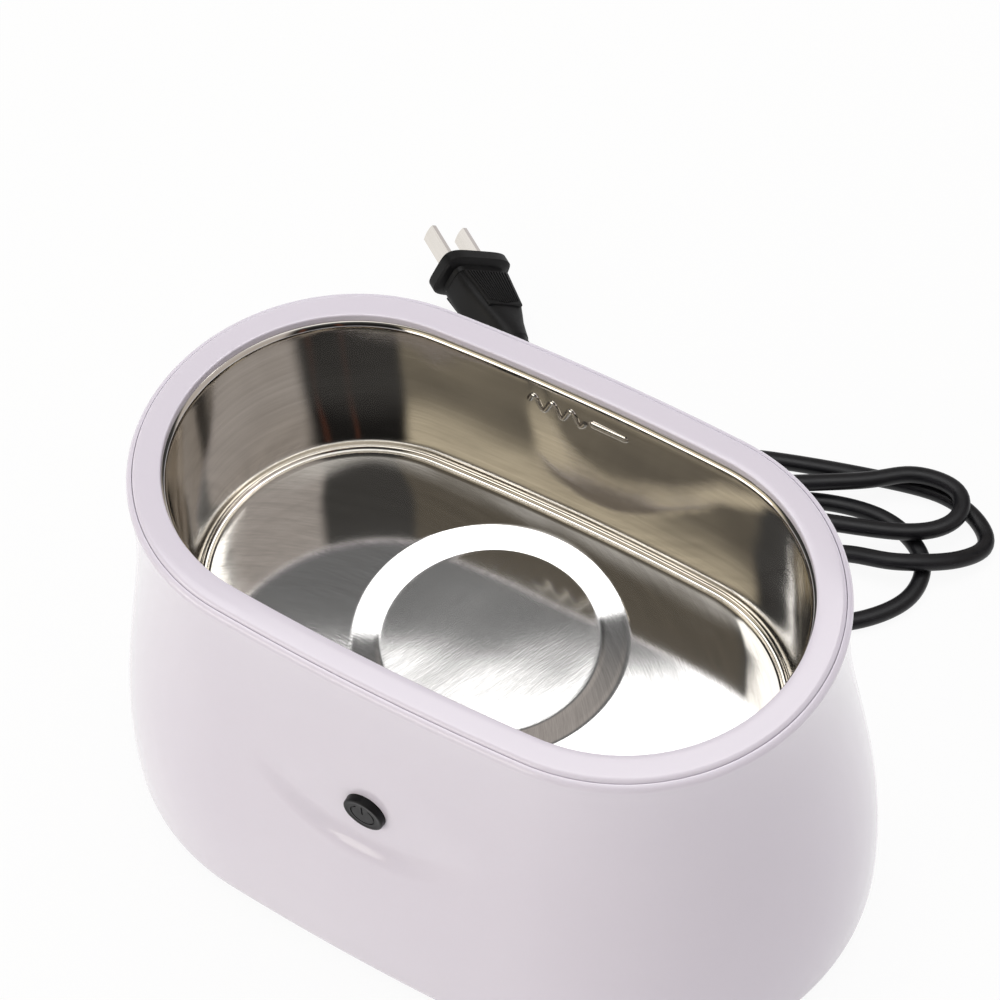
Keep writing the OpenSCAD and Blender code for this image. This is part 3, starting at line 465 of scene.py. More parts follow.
def makeFinish(name, colour, second, rough, metallic=0.0, pattern="grain", scale=400.0, patchScale=25.0, patches=0.5,
               along=18.0, across=1800.0, centre=(0, 0, 0), turn=(0, 0, 0), bump=0.1, bumpSize=0.00002, wave=0.0,
               waveScale=22.0, uv=None, **shader):
    material = bpy.data.materials.new(name)
    material.use_nodes = True
    tree = material.node_tree
    shade = tree.nodes["Principled BSDF"]
    coords = addNode(tree, "TexCoord")
    source = coords.outputs["Object"]
    if uv:
        source = addNode(tree, "UVMap", uv_map=uv).outputs[0]
    mapping = addNode(tree, "Mapping", {"Vector": source}, Rotation=turn)
    marks = tree.nodes.new("ShaderNodeGroup")
    marks.node_tree = {"grain": surfaceGrain, "brush": brushMarks, "arc": arcMarks}[pattern]
    tree.links.new(mapping.outputs[0], marks.inputs["Vector"])
    values = {"grain": {"Scale": scale, "Patch Scale": patchScale, "Patches": patches},
              "brush": {"Along": along, "Across": across},
              "arc": {"Centre": centre, "Along": along, "Across": across}}[pattern]
    setInputs(marks, values)
    spread = addNode(tree, "MapRange", {"Value": marks.outputs["Mask"]})
    setInputs(spread, {"From Min": 0.3, "From Max": 0.7})
    tint = addNode(tree, "Mix", {0: spread.outputs[0]}, data_type="RGBA")
    setInputs(tint, {6: (*colour, 1), 7: (*second, 1)})
    tree.links.new(tint.outputs[2], shade.inputs["Base Color"])
    gloss = addNode(tree, "MapRange", {"Value": spread.outputs[0]})
    setInputs(gloss, {"To Min": rough[0], "To Max": rough[1]})
    tree.links.new(gloss.outputs[0], shade.inputs["Roughness"])
    relief = addNode(tree, "Bump", {"Height": marks.outputs["Height"]}, Strength=bump, Distance=bumpSize)
    if wave:
        # the broad unevenness of a thin pressed or moulded wall
        swell = addNode(tree, "TexNoise", {"Vector": coords.outputs["Object"]}, Scale=waveScale, Detail=1.0)
        under = addNode(tree, "Bump", {"Height": swell.outputs[0]}, Strength=1.0, Distance=wave)
        tree.links.new(under.outputs[0], relief.inputs["Normal"])
    tree.links.new(relief.outputs[0], shade.inputs["Normal"])
    setInputs(shade, {"Metallic": metallic, **{key.replace("_", " "): value for key, value in shader.items()}})
    return material


wire = dict(rough=(0.35, 0.5), scale=800.0, bump=0.2)
brushed = dict(metallic=1.0, pattern="brush", across=2600.0)
turnedMetal = dict(metallic=1.0, pattern="arc", along=0.6, across=2500.0, bump=0.4)
finishes = {
    "glossWhite": dict(colour=(0.815, 0.77, 0.865), second=(0.79, 0.745, 0.845), rough=(0.10, 0.15), scale=900.0,
                       patchScale=14.0, patches=0.8, bump=0.04, wave=0.00012, waveScale=16.0, Coat_Weight=0.25,
                       Coat_Roughness=0.05),
    "mattWhite": dict(colour=(0.76, 0.73, 0.76), second=(0.70, 0.67, 0.70), rough=(0.45, 0.6), scale=2600.0, bump=0.5,
                      bumpSize=0.00005),
    "tankWall": dict(colour=(0.74, 0.71, 0.66), second=(0.55, 0.52, 0.47), rough=(0.05, 0.09), along=45.0,
                     uv="round", bump=0.3, bumpSize=0.00003, wave=0.0011, waveScale=26.0, **brushed),
    "tankFloor": dict(colour=(0.72, 0.71, 0.70), second=(0.50, 0.49, 0.48), rough=(0.05, 0.09), metallic=1.0,
                      pattern="arc", centre=(-0.035, -0.075, 0), along=14.0, across=2600.0, bump=0.14,
                      bumpSize=0.00003, wave=0.0004, waveScale=18.0),
    "tankSeat": dict(colour=(0.74, 0.73, 0.72), second=(0.52, 0.51, 0.50), rough=(0.06, 0.11), metallic=1.0,
                     pattern="brush", along=260.0, across=2200.0, turn=(0, 0, 1.9), bump=0.14, bumpSize=0.00003,
                     wave=0.0004, waveScale=22.0),
    "blackSatin": dict(colour=(0.008, 0.008, 0.009), second=(0.013, 0.013, 0.014), rough=(0.26, 0.36), scale=1500.0,
                       bump=0.15, Specular_IOR_Level=0.12),
    "leadJacket": dict(colour=(0.006, 0.006, 0.007), second=(0.012, 0.012, 0.014), rough=(0.30, 0.46), scale=500.0,
                       patchScale=60.0, uv="along", bump=0.2, bumpSize=0.00003, Specular_IOR_Level=0.25),
    "plugRubber": dict(colour=(0.004, 0.004, 0.0045), second=(0.009, 0.009, 0.009), rough=(0.42, 0.6), scale=1100.0,
                       patchScale=70.0, bump=0.35, bumpSize=0.00004, Specular_IOR_Level=0.2),
    "softBlack": dict(colour=(0.02, 0.02, 0.02), second=(0.045, 0.045, 0.045), rough=(0.7, 0.85), scale=1400.0,
                      bump=0.4),
    "pressedSteel": dict(colour=(0.74, 0.71, 0.66), second=(0.62, 0.59, 0.54), rough=(0.09, 0.15), along=60.0,
                         turn=(0, 0, 0.2), bump=0.15, **brushed),
    "nickel": dict(colour=(0.84, 0.80, 0.75), second=(0.76, 0.72, 0.66), rough=(0.14, 0.24), along=60.0,
                   turn=(0, 0, 0.6), bump=0.06, **brushed),
    "zinc": dict(colour=(0.62, 0.62, 0.60), second=(0.48, 0.47, 0.44), rough=(0.28, 0.45), metallic=1.0, scale=1200.0,
                 bump=0.3),
    "turnedAlloy": dict(colour=(0.77, 0.77, 0.78), second=(0.66, 0.66, 0.68), rough=(0.25, 0.4), **turnedMetal),
    "darkSteel": dict(colour=(0.30, 0.30, 0.31), second=(0.20, 0.20, 0.21), rough=(0.35, 0.5), **turnedMetal),
    "ceramic": dict(colour=(0.72, 0.67, 0.55), second=(0.62, 0.57, 0.46), rough=(0.6, 0.75), scale=2400.0, bump=0.4),
    "brassSheet": dict(colour=(0.72, 0.50, 0.20), second=(0.55, 0.36, 0.14), rough=(0.25, 0.42), metallic=1.0,
                       scale=900.0, bump=0.2),
    "epoxy": dict(colour=(0.45, 0.35, 0.20), second=(0.36, 0.27, 0.15), rough=(0.3, 0.5), scale=700.0, bump=0.4),
    "greenBoard": dict(colour=(0.015, 0.14, 0.05), second=(0.03, 0.22, 0.08), rough=(0.25, 0.4), scale=700.0,
                       patchScale=160.0, bump=0.3),
    "ferrite": dict(colour=(0.05, 0.05, 0.055), second=(0.09, 0.085, 0.08), rough=(0.55, 0.75), scale=1300.0,
                    bump=0.4),
    "darkCase": dict(colour=(0.02, 0.025, 0.06), second=(0.05, 0.055, 0.10), rough=(0.35, 0.55), scale=1000.0,
                     bump=0.25),
    "copperCoil": dict(colour=(0.45, 0.18, 0.07), second=(0.30, 0.11, 0.04), rough=(0.25, 0.4), metallic=0.6,
                       pattern="brush", along=40.0, across=2200.0, bump=0.5),
    "fuseGlass": dict(colour=(0.82, 0.82, 0.80), second=(0.70, 0.70, 0.66), rough=(0.05, 0.12), scale=600.0,
                      bump=0.1),
    "greenBlock": dict(colour=(0.05, 0.28, 0.08), second=(0.07, 0.34, 0.11), rough=(0.35, 0.5), scale=900.0,
                       bump=0.2),
    "springWire": dict(colour=(0.66, 0.66, 0.66), second=(0.5, 0.5, 0.5), rough=(0.2, 0.35), metallic=1.0,
                       scale=900.0, bump=0.2),
    "brownLead": dict(colour=(0.20, 0.07, 0.03), second=(0.27, 0.10, 0.05), **wire),
    "redLead": dict(colour=(0.42, 0.03, 0.02), second=(0.52, 0.06, 0.04), **wire),
    "blueLead": dict(colour=(0.03, 0.07, 0.36), second=(0.05, 0.10, 0.44), **wire)}
look = {name: makeFinish(name, **values) for name, values in finishes.items()}
print("finishes made:", len(look))


# the solids that keep their own shape
plainPieces = {
    "tank_gasket": "softBlack", "base_plate": "mattWhite", "base_screws": "zinc", "bond_layer": "epoxy",
    "transducer_horn": "turnedAlloy", "piezo_rings": "ceramic", "electrode_tabs": "brassSheet",
    "back_mass": "darkSteel", "transducer_bolt": "darkSteel", "driver_board": "greenBoard", "board_screws": "zinc",
    "transformer": "ferrite", "capacitors": "darkCase", "heat_sink": "turnedAlloy", "power_transistors": "darkCase",
    "fuse": "fuseGlass", "terminal_block": "greenBlock", "output_choke": "copperCoil",
    "switch_plunger": "blackSatin", "switch_body": "darkCase", "switch_board": "greenBoard", "switch_screws": "zinc",
    "cord_clamp": "mattWhite", "clamp_screws": "zinc", "mains_leads": "brownLead", "switch_leads": "redLead",
    "transducer_leads": "blueLead", "plug_blades": "nickel"}
for node, finish in plainPieces.items():
    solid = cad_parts[node]
    if solid.material_slots:
        for held in solid.material_slots:
            held.material = look[finish]
    else:
        solid.data.materials.append(look[finish])
print("solids finished:", len(plainPieces))


# housing
housing = {"top": 128, "neck": 57.2, "flare": 14.3, "waist": 121, "belly": 7, "footRound": 5, "wall": 2.5,
           "bead": 1.6, "lip": 55.8, "foot": 2, "rows": 104,
           # up from the waist: the neck's edge, then the bezel's groove and the shelf under the tank
           "neckEdge": [(57.22, 122.6), (57.3, 124.1)], "step": 2.2, "grooveIn": 54.7, "grooveDeep": 2.3,
           "shelfIn": 48.3, "shelfDeep": 4.8,
           "buttonHeight": 74.6, "scoopIn": 1.4, "scoopTilt": 4.8, "scoopUp": 31.5, "floorRim": 43.6, "wallRim": 50.4,
           "scoopBend": 0.0004, "scoopBlend": 0.05, "skin": 1.2,
           "scoopHalf": 52, "scoopFrom": 45, "scoopTo": 108, "scoopFade": 14,
           # radius, start and length of the button's bore and of the lead's
           "bore": (6.1, -54, 14), "exit": (-25, 9), "exitBore": (4.3, 62, 16)}


def wallRadius(z):
    s = (housing["waist"] - z) / (housing["waist"] - housing["belly"])
    return housing["neck"] + housing["flare"] * (0.5 - 0.5 * math.cos(math.pi * s))


def scoopAmount(x, y, z):
    # how far the front wall is pressed in around the button: a tilted, nearly flat floor with a curved ledge below
    h = housing
    floor = wallRadius(h["buttonHeight"]) + oval["bow"] - h["scoopIn"]
    floor -= (z - h["buttonHeight"]) * math.tan(math.radians(h["scoopTilt"]))
    floor += h["scoopBend"] * x * x
    deep = -y - floor
    deep = 0.5 * (deep + math.sqrt(deep * deep + h["scoopBlend"])) - 0.02
    away = math.hypot(x, z - h["buttonHeight"] - h["scoopUp"])
    edge = min(1, max(0, (h["wallRim"] - away) / (h["wallRim"] - h["floorRim"])))
    edge = edge * edge * (3 - 2 * edge)
    fade = min(1, max(0, (h["scoopTo"] - z) / h["scoopFade"]))
    return deep * edge * fade


def cutBore(shell, radius, start, long, x, z, axis, steps):
    section = [(0, 0), (radius, 0), (radius + 0.01, long), (0, long)]
    cutAway(shell, spinRound("bore", section, (x, start, z), axis, steps))


def makeHousing():
    h = housing
    edge = wallRadius(h["belly"]) - h["footRound"]
    rows = [h["belly"] + (h["waist"] - h["belly"]) * i / h["rows"] for i in range(1, h["rows"])]
    outside = ([(edge, h["foot"])] + arcPoints(edge, h["belly"], h["footRound"], -80, 0, 9)
               + [(wallRadius(z), z) for z in rows] + [(wallRadius(h["waist"]), h["waist"])] + h["neckEdge"]
               + arcPoints(h["lip"], h["top"] - 1 - h["bead"], h["bead"], 0, 90, 9))
    step = h["top"] - h["step"]
    groove, shelf = step - h["grooveDeep"], step - h["shelfDeep"]
    inside = [(h["lip"], step + 0.1), (h["lip"] - 0.1, step), (h["grooveIn"], step), (h["grooveIn"], groove),
              (h["shelfIn"], groove), (h["shelfIn"], shelf), (wallRadius(shelf) - h["wall"], shelf)]
    inside += [(wallRadius(z) - h["wall"], z) for z in range(114, 8, -7)]
    inside += arcPoints(edge, h["belly"], h["footRound"] - h["wall"], 0, -80, 4) + [(edge - 0.4, h["foot"] + 0.2)]
    shell = sweepOval("housingShell", outside + inside)
    bowMesh(shell)
    for v in shell.data.vertices:      # the scoop round the button
        x, y, z = (c / mm for c in v.co)
        if y < 0 and abs(x) < h["scoopHalf"] and h["scoopFrom"] < z < h["scoopTo"]:
            outer = -y > wallRadius(z) - h["skin"]
            v.co.y += scoopAmount(x, y if outer else y - h["wall"], z) * mm
    finishMesh(shell, 38)
    cutBore(shell, *h["bore"], 0, h["buttonHeight"], "-Y", 96)
    cutBore(shell, *h["exitBore"], *h["exit"], "Y", 64)
    smoothBy(shell, 38)
    return shell


housingShell = carry(makeHousing(), "white_housing", look["glossWhite"], "outer_housing")
print("housing made:", len(housingShell.data.polygons), "faces")


# bezel
bezel = {"mouth": 48.1, "outside": 55.65, "top": 128, "plate": 2.2, "edge": 1.3, "mouthEdge": 0.5, "skirt": 53.9,
         "skirtInside": 53.2, "skirtDrop": 2.2, "flat": (50.5, 52.5)}


def makeBezel():
    b = bezel
    low = b["top"] - b["plate"]
    section = ([(b["mouth"], low)]
               + arcPoints(b["mouth"] + b["mouthEdge"], b["top"] - b["mouthEdge"], b["mouthEdge"], 180, 90, 6)
               + [(r, b["top"]) for r in b["flat"]]
               + arcPoints(b["outside"] - b["edge"], b["top"] - b["edge"], b["edge"], 90, 0, 9)
               + [(b["outside"], low), (b["skirt"], low), (b["skirt"], low - b["skirtDrop"]),
                  (b["skirtInside"], low - b["skirtDrop"]), (b["skirtInside"], low)])
    ring = sweepOval("bezelRing", section)
    bowMesh(ring)
    finishMesh(ring, 38)
    return ring


bezelRing = carry(makeBezel(), "white_housing", look["glossWhite"], "top_bezel")
print("bezel made")


# tank
tank = {"flange": 52.9, "lip": 125.75, "wall": 46.9, "taper": 1.1, "mouthBend": 2.2, "cornerBend": 1.25,
        "footLean": 1.45, "leanFrom": 0.5,      # the foot of the wall leans in as it is drawn
        "wallSteps": 30, "flangeIn": 50.6, "mapRadius": 47,
        "floor": 74.6, "gutter": 1.0, "panel": 42.6, "panelIn": 38.9, "sheet": 0.8, "seat": 30,
        # the panel's edge out of the gutter, and the press in it: radius and height
        "panelFoot": [(0.5, 0), (0.1, 0.12), (-0.3, 0.55)], "panelTop": [(-0.7, -0.1), (-1.2, 0), (-2.4, 0)],
        "pressTop": [(38.4, 0), (37.9, 0), (37.5, -0.03), (37.0, -0.1), (36.5, -0.22)], "pressSteps": 6,
        "pressFoot": [(30.9, -1.18), (30.5, -1.3), (30.1, -1.38), (29.6, -1.4), (28.6, -1.4), (20, -1.4), (10, -1.4),
                      (0, -1.4)],
        # dash: place along and up, length, width; wave: from, to, height, swing, turns
        "dash": (9.9, 117.7, 12.4, 2.9), "wave": (-14.6, 2.6, 116.8, 2.3, 3), "waveLine": 0.95,
        "dashSunk": 0.25, "dashFlat": 0.62, "waveSunk": 0.36}


def mapRound(piece):
    # a map in metres: round the oval, and down the wall
    a, r = oval["endX"], tank["mapRadius"]
    whole = 4 * a + 2 * math.pi * r
    places = []
    for v in piece.data.vertices:
        x, y, z = (c / mm for c in v.co)
        if abs(x) <= a:
            round_ = (x + a) if y < 0 else 2 * a + r * math.pi + (a - x)
        elif x > 0:
            round_ = 2 * a + r * (math.atan2(y, x - a) + math.pi / 2)
        else:
            turn = math.atan2(-y, -a - x) + math.pi / 2
            round_ = 4 * a + r * math.pi + r * turn
        places.append((round_, z))
    uv = piece.data.uv_layers.new(name="round").data
    for f in piece.data.polygons:
        high = max(places[v][0] for v in f.vertices)
        for loop, v in zip(f.loop_indices, f.vertices):
            s, z = places[v]
            uv[loop].uv = ((s + (whole if high - s > whole / 2 else 0)) * mm, z * mm)


def makeTank():
    t = tank
    low = t["wall"] - t["taper"] - t["footLean"]
    base = t["floor"] - t["gutter"]
    wallTop = t["lip"] - t["mouthBend"]
    section = [(t["flange"], t["lip"]), (t["flangeIn"], t["lip"])]
    section += arcPoints(t["wall"] + t["mouthBend"], wallTop, t["mouthBend"], 90, 180, 10)
    steps = t["wallSteps"]
    for i in range(1, steps):
        lean = max(0, i / steps - t["leanFrom"]) / (1 - t["leanFrom"])
        section.append((t["wall"] - t["taper"] * i / steps - t["footLean"] * lean ** 2,
                        wallTop - (wallTop - base - t["cornerBend"]) * i / steps))
    section += arcPoints(low - t["cornerBend"], base + t["cornerBend"], t["cornerBend"], 0, -90, 9)
    for low, points in ((base, t["panelFoot"]), (t["floor"], t["panelTop"])):
        section += [(t["panel"] + r, low + z) for r, z in points]
    section.append((t["panelIn"], t["floor"]))
    sheet = sweepOval("tankSheet", section, closed=False)
    mapRound(sheet)
    bowMesh(sheet)
    (r0, z0), (r1, z1), steps = t["pressTop"][-1], t["pressFoot"][0], t["pressSteps"]
    slope = [(r0 + (r1 - r0) * i / steps, z0 + (z1 - z0) * i / steps) for i in range(1, steps)]
    seat = spinRound("seatPress", t["pressTop"] + slope + t["pressFoot"], (0, 0, t["floor"]), "Z", 192)
    floor = joinPieces("tankSheet", sheet, seat)
    # the flat between the press and the panel is filled from open edge to open edge
    level = t["floor"] * mm
    activate(floor)
    setMode("EDIT")
    bpy.ops.mesh.select_mode(type="EDGE")
    selectAll("DESELECT")
    bpy.ops.mesh.select_non_manifold(use_wire=False, use_multi_face=False, use_non_contiguous=False, use_verts=False)
    setMode("OBJECT")
    mesh = floor.data
    for e in mesh.edges:
        e.select = e.select and abs(mesh.vertices[e.vertices[0]].co.z - level) <= 1e-6
    rim = {v for e in mesh.edges if e.select for v in e.vertices}
    for v in mesh.vertices:
        v.select = v.index in rim
    setMode("EDIT")
    bpy.ops.mesh.fill()
    closeMesh()
    middle = min(floor.data.polygons, key=lambda f: math.hypot(f.center.x, f.center.y))
    if middle.normal.z < 0:
        editAll(floor)
        bpy.ops.mesh.flip_normals()
        setMode("OBJECT")
    floor.data.materials.clear()
    for name in ("tankWall", "tankFloor", "tankSeat"):
        floor.data.materials.append(look[name])
    for f in floor.data.polygons:
        c = f.center
        r = math.hypot(c.x, c.y)
        onFloor = c.z < (t["floor"] + 0.05) * mm and (c.z > (t["floor"] - 0.2) * mm or r < t["panelIn"] * mm)
        f.material_index = 2 if r < t["seat"] * mm and onFloor else 1 if onFloor else 0
    applyModifier(floor, "SOLIDIFY", thickness=t["sheet"] * mm, offset=-1.0, use_even_offset=False)
    smoothBy(floor, 40)
    return floor


def backWallPlace(x, z):
    # a place on the wet side of the back wall, in mm
    t = tank
    down = (t["lip"] - t["mouthBend"] - z) / (t["lip"] - t["mouthBend"] - t["floor"])
    return bowPlace(x, t["wall"] - t["taper"] * down)[1]


def makeLevelMark():
    # the raised level line and a plain wave beside it, pressed in the back wall
    t = tank
    x, z, long, wide = t["dash"]
    deselectAll()
    bpy.ops.mesh.primitive_uv_sphere_add(segments=40, ring_count=20, radius=wide / 2 * mm)
    dash = bpy.context.object
    for v in dash.data.vertices:
        if v.co.x > 1e-7:
            v.co.x += (long - wide) * mm
    place = (x - (long - wide) / 2, backWallPlace(x, z) + t["dashSunk"], z)
    dash.data.transform(shiftBy(place) @ Matrix.Diagonal((1, t["dashFlat"], 1, 1)))
    x0, x1, zm, tall, turns = t["wave"]
    deselectAll()
    bpy.ops.curve.primitive_nurbs_path_add()
    path = bpy.context.object
    path.data.splines.clear()
    steps = 90
    line = path.data.splines.new("POLY")
    line.points.add(steps)
    for i, p in enumerate(line.points):
        s = i / steps
        px = x0 + (x1 - x0) * s
        place = (px, backWallPlace(px, zm) + t["waveSunk"], zm + tall * math.sin(2 * math.pi * turns * s))
        p.co = (*[c * mm for c in place], 1)
    path.data.dimensions = "3D"
    path.data.bevel_depth = t["waveLine"] * mm
    path.data.bevel_resolution = 5
    path.data.use_fill_caps = True
    activate(path)
    bpy.ops.object.convert(target="MESH")
    mark = joinPieces("levelMark", dash, bpy.context.object)
    finishMesh(mark, 50)
    return mark


tankSheet = carry(makeTank(), "tank_steel", None, "tank")
levelMark = carry(makeLevelMark(), "tank_steel", look["pressedSteel"])
print("tank made:", len(tankSheet.data.polygons), "faces")


# button
button = {"radius": 6.0, "face": -63.89, "back": -57.1, "height": 74.6, "edge": 0.45, "flange": 7.0,
          "dish": 0.08, "ring": 3.55, "gap": 62, "line": 0.42, "cut": 0.28, "barUp": 2.1, "barLong": 3.4}


def makeButton():
    b = button
    long = b["back"] - b["face"]
    section = [(0, 0), (b["flange"], 0), (b["flange"], 1.2), (b["radius"], 1.2), (b["radius"], long - b["edge"])]
    section += arcPoints(b["radius"] - b["edge"], long - b["edge"], b["edge"], 15, 90, 5)
    section += [(b["radius"] - 0.9, long), (b["radius"] - 1.1, long - 0.05), (4.4, long - b["dish"]),
                (0, long - b["dish"])]
    cap = spinRound("buttonCap", section, (0, b["back"], b["height"]), "-Y", 96)
    half = b["line"] / 2
    gap = b["gap"]
    face = b["face"] + b["dish"]
    groove = spinRound("groove", [(b["ring"] - half, -b["cut"]), (b["ring"] + half, -b["cut"]), (b["ring"] + half, 1),
                                  (b["ring"] - half, 1)], (0, 0, 0), "Z", 72, closed=True, angle=360 - gap)
    # the spin is open at both ends of the ring: they are filled, then the gap is turned to the top
    editAll(groove)
    selectAll("DESELECT")
    bpy.ops.mesh.select_non_manifold()
    bpy.ops.mesh.edge_face_add()
    closeMesh()
    groove.data.transform(Matrix.Translation((0, face * mm, b["height"] * mm))
                          @ turnBy(90, "X")
                          @ turnBy(90 - gap / 2, "Z"))
    bar = addBlock((0, face - 0.5 + b["cut"], b["height"] + b["barUp"]), (b["line"], 1, b["barLong"]))
    cutAway(cap, groove)
    cutAway(cap, bar)
    finishMesh(cap, 32)
    return cap


# return spring behind the button, which shortens as the button goes in; it is built here at one length
spring = {"radius": 5.4, "wire": 0.3, "turns": 3, "held": (0, -52.5, 74.6), "share": 0.635}


def makeSpring():
    s = spring
    low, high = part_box("button_spring")
    long = high[1] - low[1] - 2 * s["wire"] * mm
    deselectAll()
    bpy.ops.mesh.primitive_circle_add(vertices=12, radius=s["wire"] * mm, location=(s["radius"] * mm, 0, 0),
                                      rotation=(math.radians(90), 0, 0))
    coil = bpy.context.object
    coil.name = "springCoil"
    bpy.ops.object.transform_apply()
    applyModifier(coil, "SCREW", axis="Z", angle=2 * math.pi * s["turns"], screw_offset=long, steps=40 * s["turns"],
                  render_steps=40 * s["turns"])
    editAll(coil)
    bpy.ops.mesh.fill_holes(sides=0)
    closeMesh()
    coil.data.transform(Matrix.Translation((0, low[1] + s["wire"] * mm, s["held"][2] * mm))
                        @ turnBy(-90, "X"))
    finishMesh(coil, 50)
    return coil


buttonCap = carry(makeButton(), "black_plastic", look["blackSatin"], "button_cap", body="button")
springCoil = carry(makeSpring(), "spring_steel", look["springWire"], "button_spring")
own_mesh(springCoil)
print("button and spring made")


# strain relief
relief = {"place": (-25, 9), "start": 64, "neck": 4.0, "end": 96.1, "tip": 3.4, "core": 2.9,
          "ribs": 5, "ribsFrom": 10.6, "firstRib": 4.4}


def makeRelief():
    r = relief
    x, z = r["place"]
    section = [(0, 0), (r["neck"] - 0.3, 0), (r["neck"], 0.3), (r["neck"], 8.3), (r["neck"] + 0.8, 8.35),
               (r["neck"] + 0.8, 10.1), (r["neck"] + 0.5, 10.4)]
    begin, end = r["ribsFrom"], r["end"] - r["start"]
    pitch = (end - begin) / r["ribs"]
    for i in range(r["ribs"]):
        y = begin + i * pitch
        here = r["firstRib"] + (r["tip"] - r["firstRib"]) * i / r["ribs"]
        section += [(here, y), (here, y + pitch * 0.62), (here - 0.25, y + pitch * 0.66),
                    (r["core"], y + pitch * 0.68), (r["core"], y + pitch * 0.97)]
    section += [(r["tip"], end - 0.8), (r["tip"] - 0.3, end), (0, end)]
    sleeve = spinRound("reliefSleeve", section, (x, r["start"], z), "Y", 48)
    finishMesh(sleeve, 32)
    return sleeve


reliefSleeve = carry(makeRelief(), "black_pvc", look["plugRubber"], "strain_relief")
print("strain relief made")


# feet
feet = {"x": 70, "y": 38, "radius": 7, "tall": 2, "neck": 2.4}


def makeFeet():
    f = feet
    # the cup and rim on the table, then the neck through the base and its barb
    section = [(0, 0.45), (4.3, 0.45), (4.7, 0.1), (5.2, 0), (6.2, 0), (6.7, 0.2), (f["radius"], 0.6),
               (f["radius"], f["tall"]), (f["neck"], f["tall"]), (f["neck"], 4.52), (3.35, 4.6), (2.0, 6.5), (0, 6.5)]
    pads = joinPieces("feetPads", *[spinRound("foot", section, (sx * f["x"], sy * f["y"], 0), "Z", 48)
                                    for sx in (-1, 1) for sy in (-1, 1)])
    finishMesh(pads, 35)
    return pads


feetPads = carry(makeFeet(), "soft_rubber", look["softBlack"], "rubber_feet")
print("feet made")


# mains plug
plug = {"place": (-104.8, 153.2, 12.3), "turn": 146.2, "roll": 32, "corner": 0.42,
        # from the blades' face to the lead: place along, half width, half thickness
        "sections": [(0, 12.2, 7.7), (-0.8, 13, 8.5), (-4.2, 13, 8.5), (-5, 12.4, 7.9), (-5.6, 10.2, 6.2),
                     (-7.2, 9.9, 6.0), (-8.2, 10.6, 6.4), (-14, 10.4, 6.4), (-18, 9.8, 6.35), (-22, 9.0, 6.2),
                     (-26, 7.9, 6.05), (-30, 6.6, 5.8), (-33.5, 5.75, 5.5), (-36, 5.3, 5.3)],
        "ribs": 14, "ribsWide": 8.2, "narrowing": 0.74, "panel": (-8.6, -23.6),
        "reliefEnd": -60, "rings": 6, "ringsFrom": 4.9, "ringsTo": 3.4, "core": 2.95,
        # the grip turns round towards the lead: from, over, radius at the lead
        "round": (18, 17, 5.3)}


def makePlug():
    p = plug
    sections = p["sections"]
    deselectAll()
    bpy.ops.mesh.primitive_circle_add(vertices=64, radius=mm, fill_type="NGON")
    body = bpy.context.object
    # a round-cornered ring at the blades' face
    x0, w0, t0 = sections[0]
    for v in body.data.vertices:
        a = math.atan2(v.co.y, v.co.x)
        c, s = math.cos(a), math.sin(a)
        v.co = (x0 * mm, math.copysign(abs(c) ** p["corner"], c) * w0 * mm,
                math.copysign(abs(s) ** p["corner"], s) * t0 * mm)
    editAll(body)
    for (xa, wa, ta), (xb, wb, tb) in zip(sections, sections[1:]):
        extrudeBy(((xb - xa) * mm, 0, 0))
        bpy.ops.transform.resize(value=(1, wb / wa, tb / ta), center_override=(xb * mm, 0, 0))
    setMode("OBJECT")
    # the ring goes from round-cornered at the front to round where the lead comes in
    begin, over, last = p["round"]
    for v in body.data.vertices:
        s = min(1, max(0, (-v.co.x / mm - begin) / over))
        if s:
            a = math.atan2(v.co.z, v.co.y)
            r = min(last + (10 - last) * (1 - s), 5.6) * mm
            v.co = v.co.lerp(Vector((v.co.x, math.cos(a) * r, math.sin(a) * r)), s * s)
    parts = [body]
    # raised grip panels with fine ribs on both wide faces
    front, back = p["panel"]
    middle, long = (front + back) / 2, front - back

    def addGrip(block, shift, bevel):
        # a block of the grip, narrowed towards the lead
        for v in block.data.vertices:
            if v.co.x < middle * mm:
                v.co.y *= p["narrowing"]
                v.co.x += shift * mm
        applyModifier(block, "BEVEL", width=bevel, segments=2)
        parts.append(block)

    for side in (1, -1):
        for i in range(p["ribs"]):
            s = (i + 0.5) / p["ribs"] * 2 - 1
            addGrip(addBlock((middle, s * p["ribsWide"], side * 6.2), (long, 0.62, 1.5)), abs(s) * 1.4, 0.00022)
        addGrip(addBlock((middle, 0, side * 6.1), (long + 1, 18, 1.0)), 0, 0.0003)
    # the ringed sleeve behind the grip
    first = sections[-1][0]
    long = first - p["reliefEnd"]
    pitch = long / p["rings"]
    section = [(0, 0), (5.2, 0)]
    for i in range(p["rings"]):
        r = p["ringsFrom"] + (p["ringsTo"] - p["ringsFrom"]) * i / (p["rings"] - 1)
        y = i * pitch
        section += [(r, y + 0.4), (r - 0.15, y + pitch * 0.64), (r - 0.5, y + pitch * 0.68),
                    (p["core"], y + pitch * 0.7), (p["core"], y + pitch * 0.98)]
    section += [(3.3, long - 0.8), (3.0, long), (0, long)]
    sleeve = spinRound("plugSleeve", section, (0, 0, 0), "Z", 48)
    sleeve.data.transform(Matrix.Translation((first * mm, 0, 0)) @ turnBy(-90, "Y"))
    parts.append(sleeve)
    whole = joinPieces("plugBody", *parts)
    finishMesh(whole, 35)
    whole.data.transform(shiftBy(p["place"])
                         @ turnBy(p["turn"], "Z")
                         @ turnBy(p["roll"], "X"))
    return whole


plugBody = carry(makePlug(), "black_pvc", look["plugRubber"], "plug_body")
carry(mainsLead, "black_pvc", look["leadJacket"], "cord_to_coil", "cord_coil", "cord_to_plug")
print("plug made, lead declared:", round(leadLength, 3), "m")


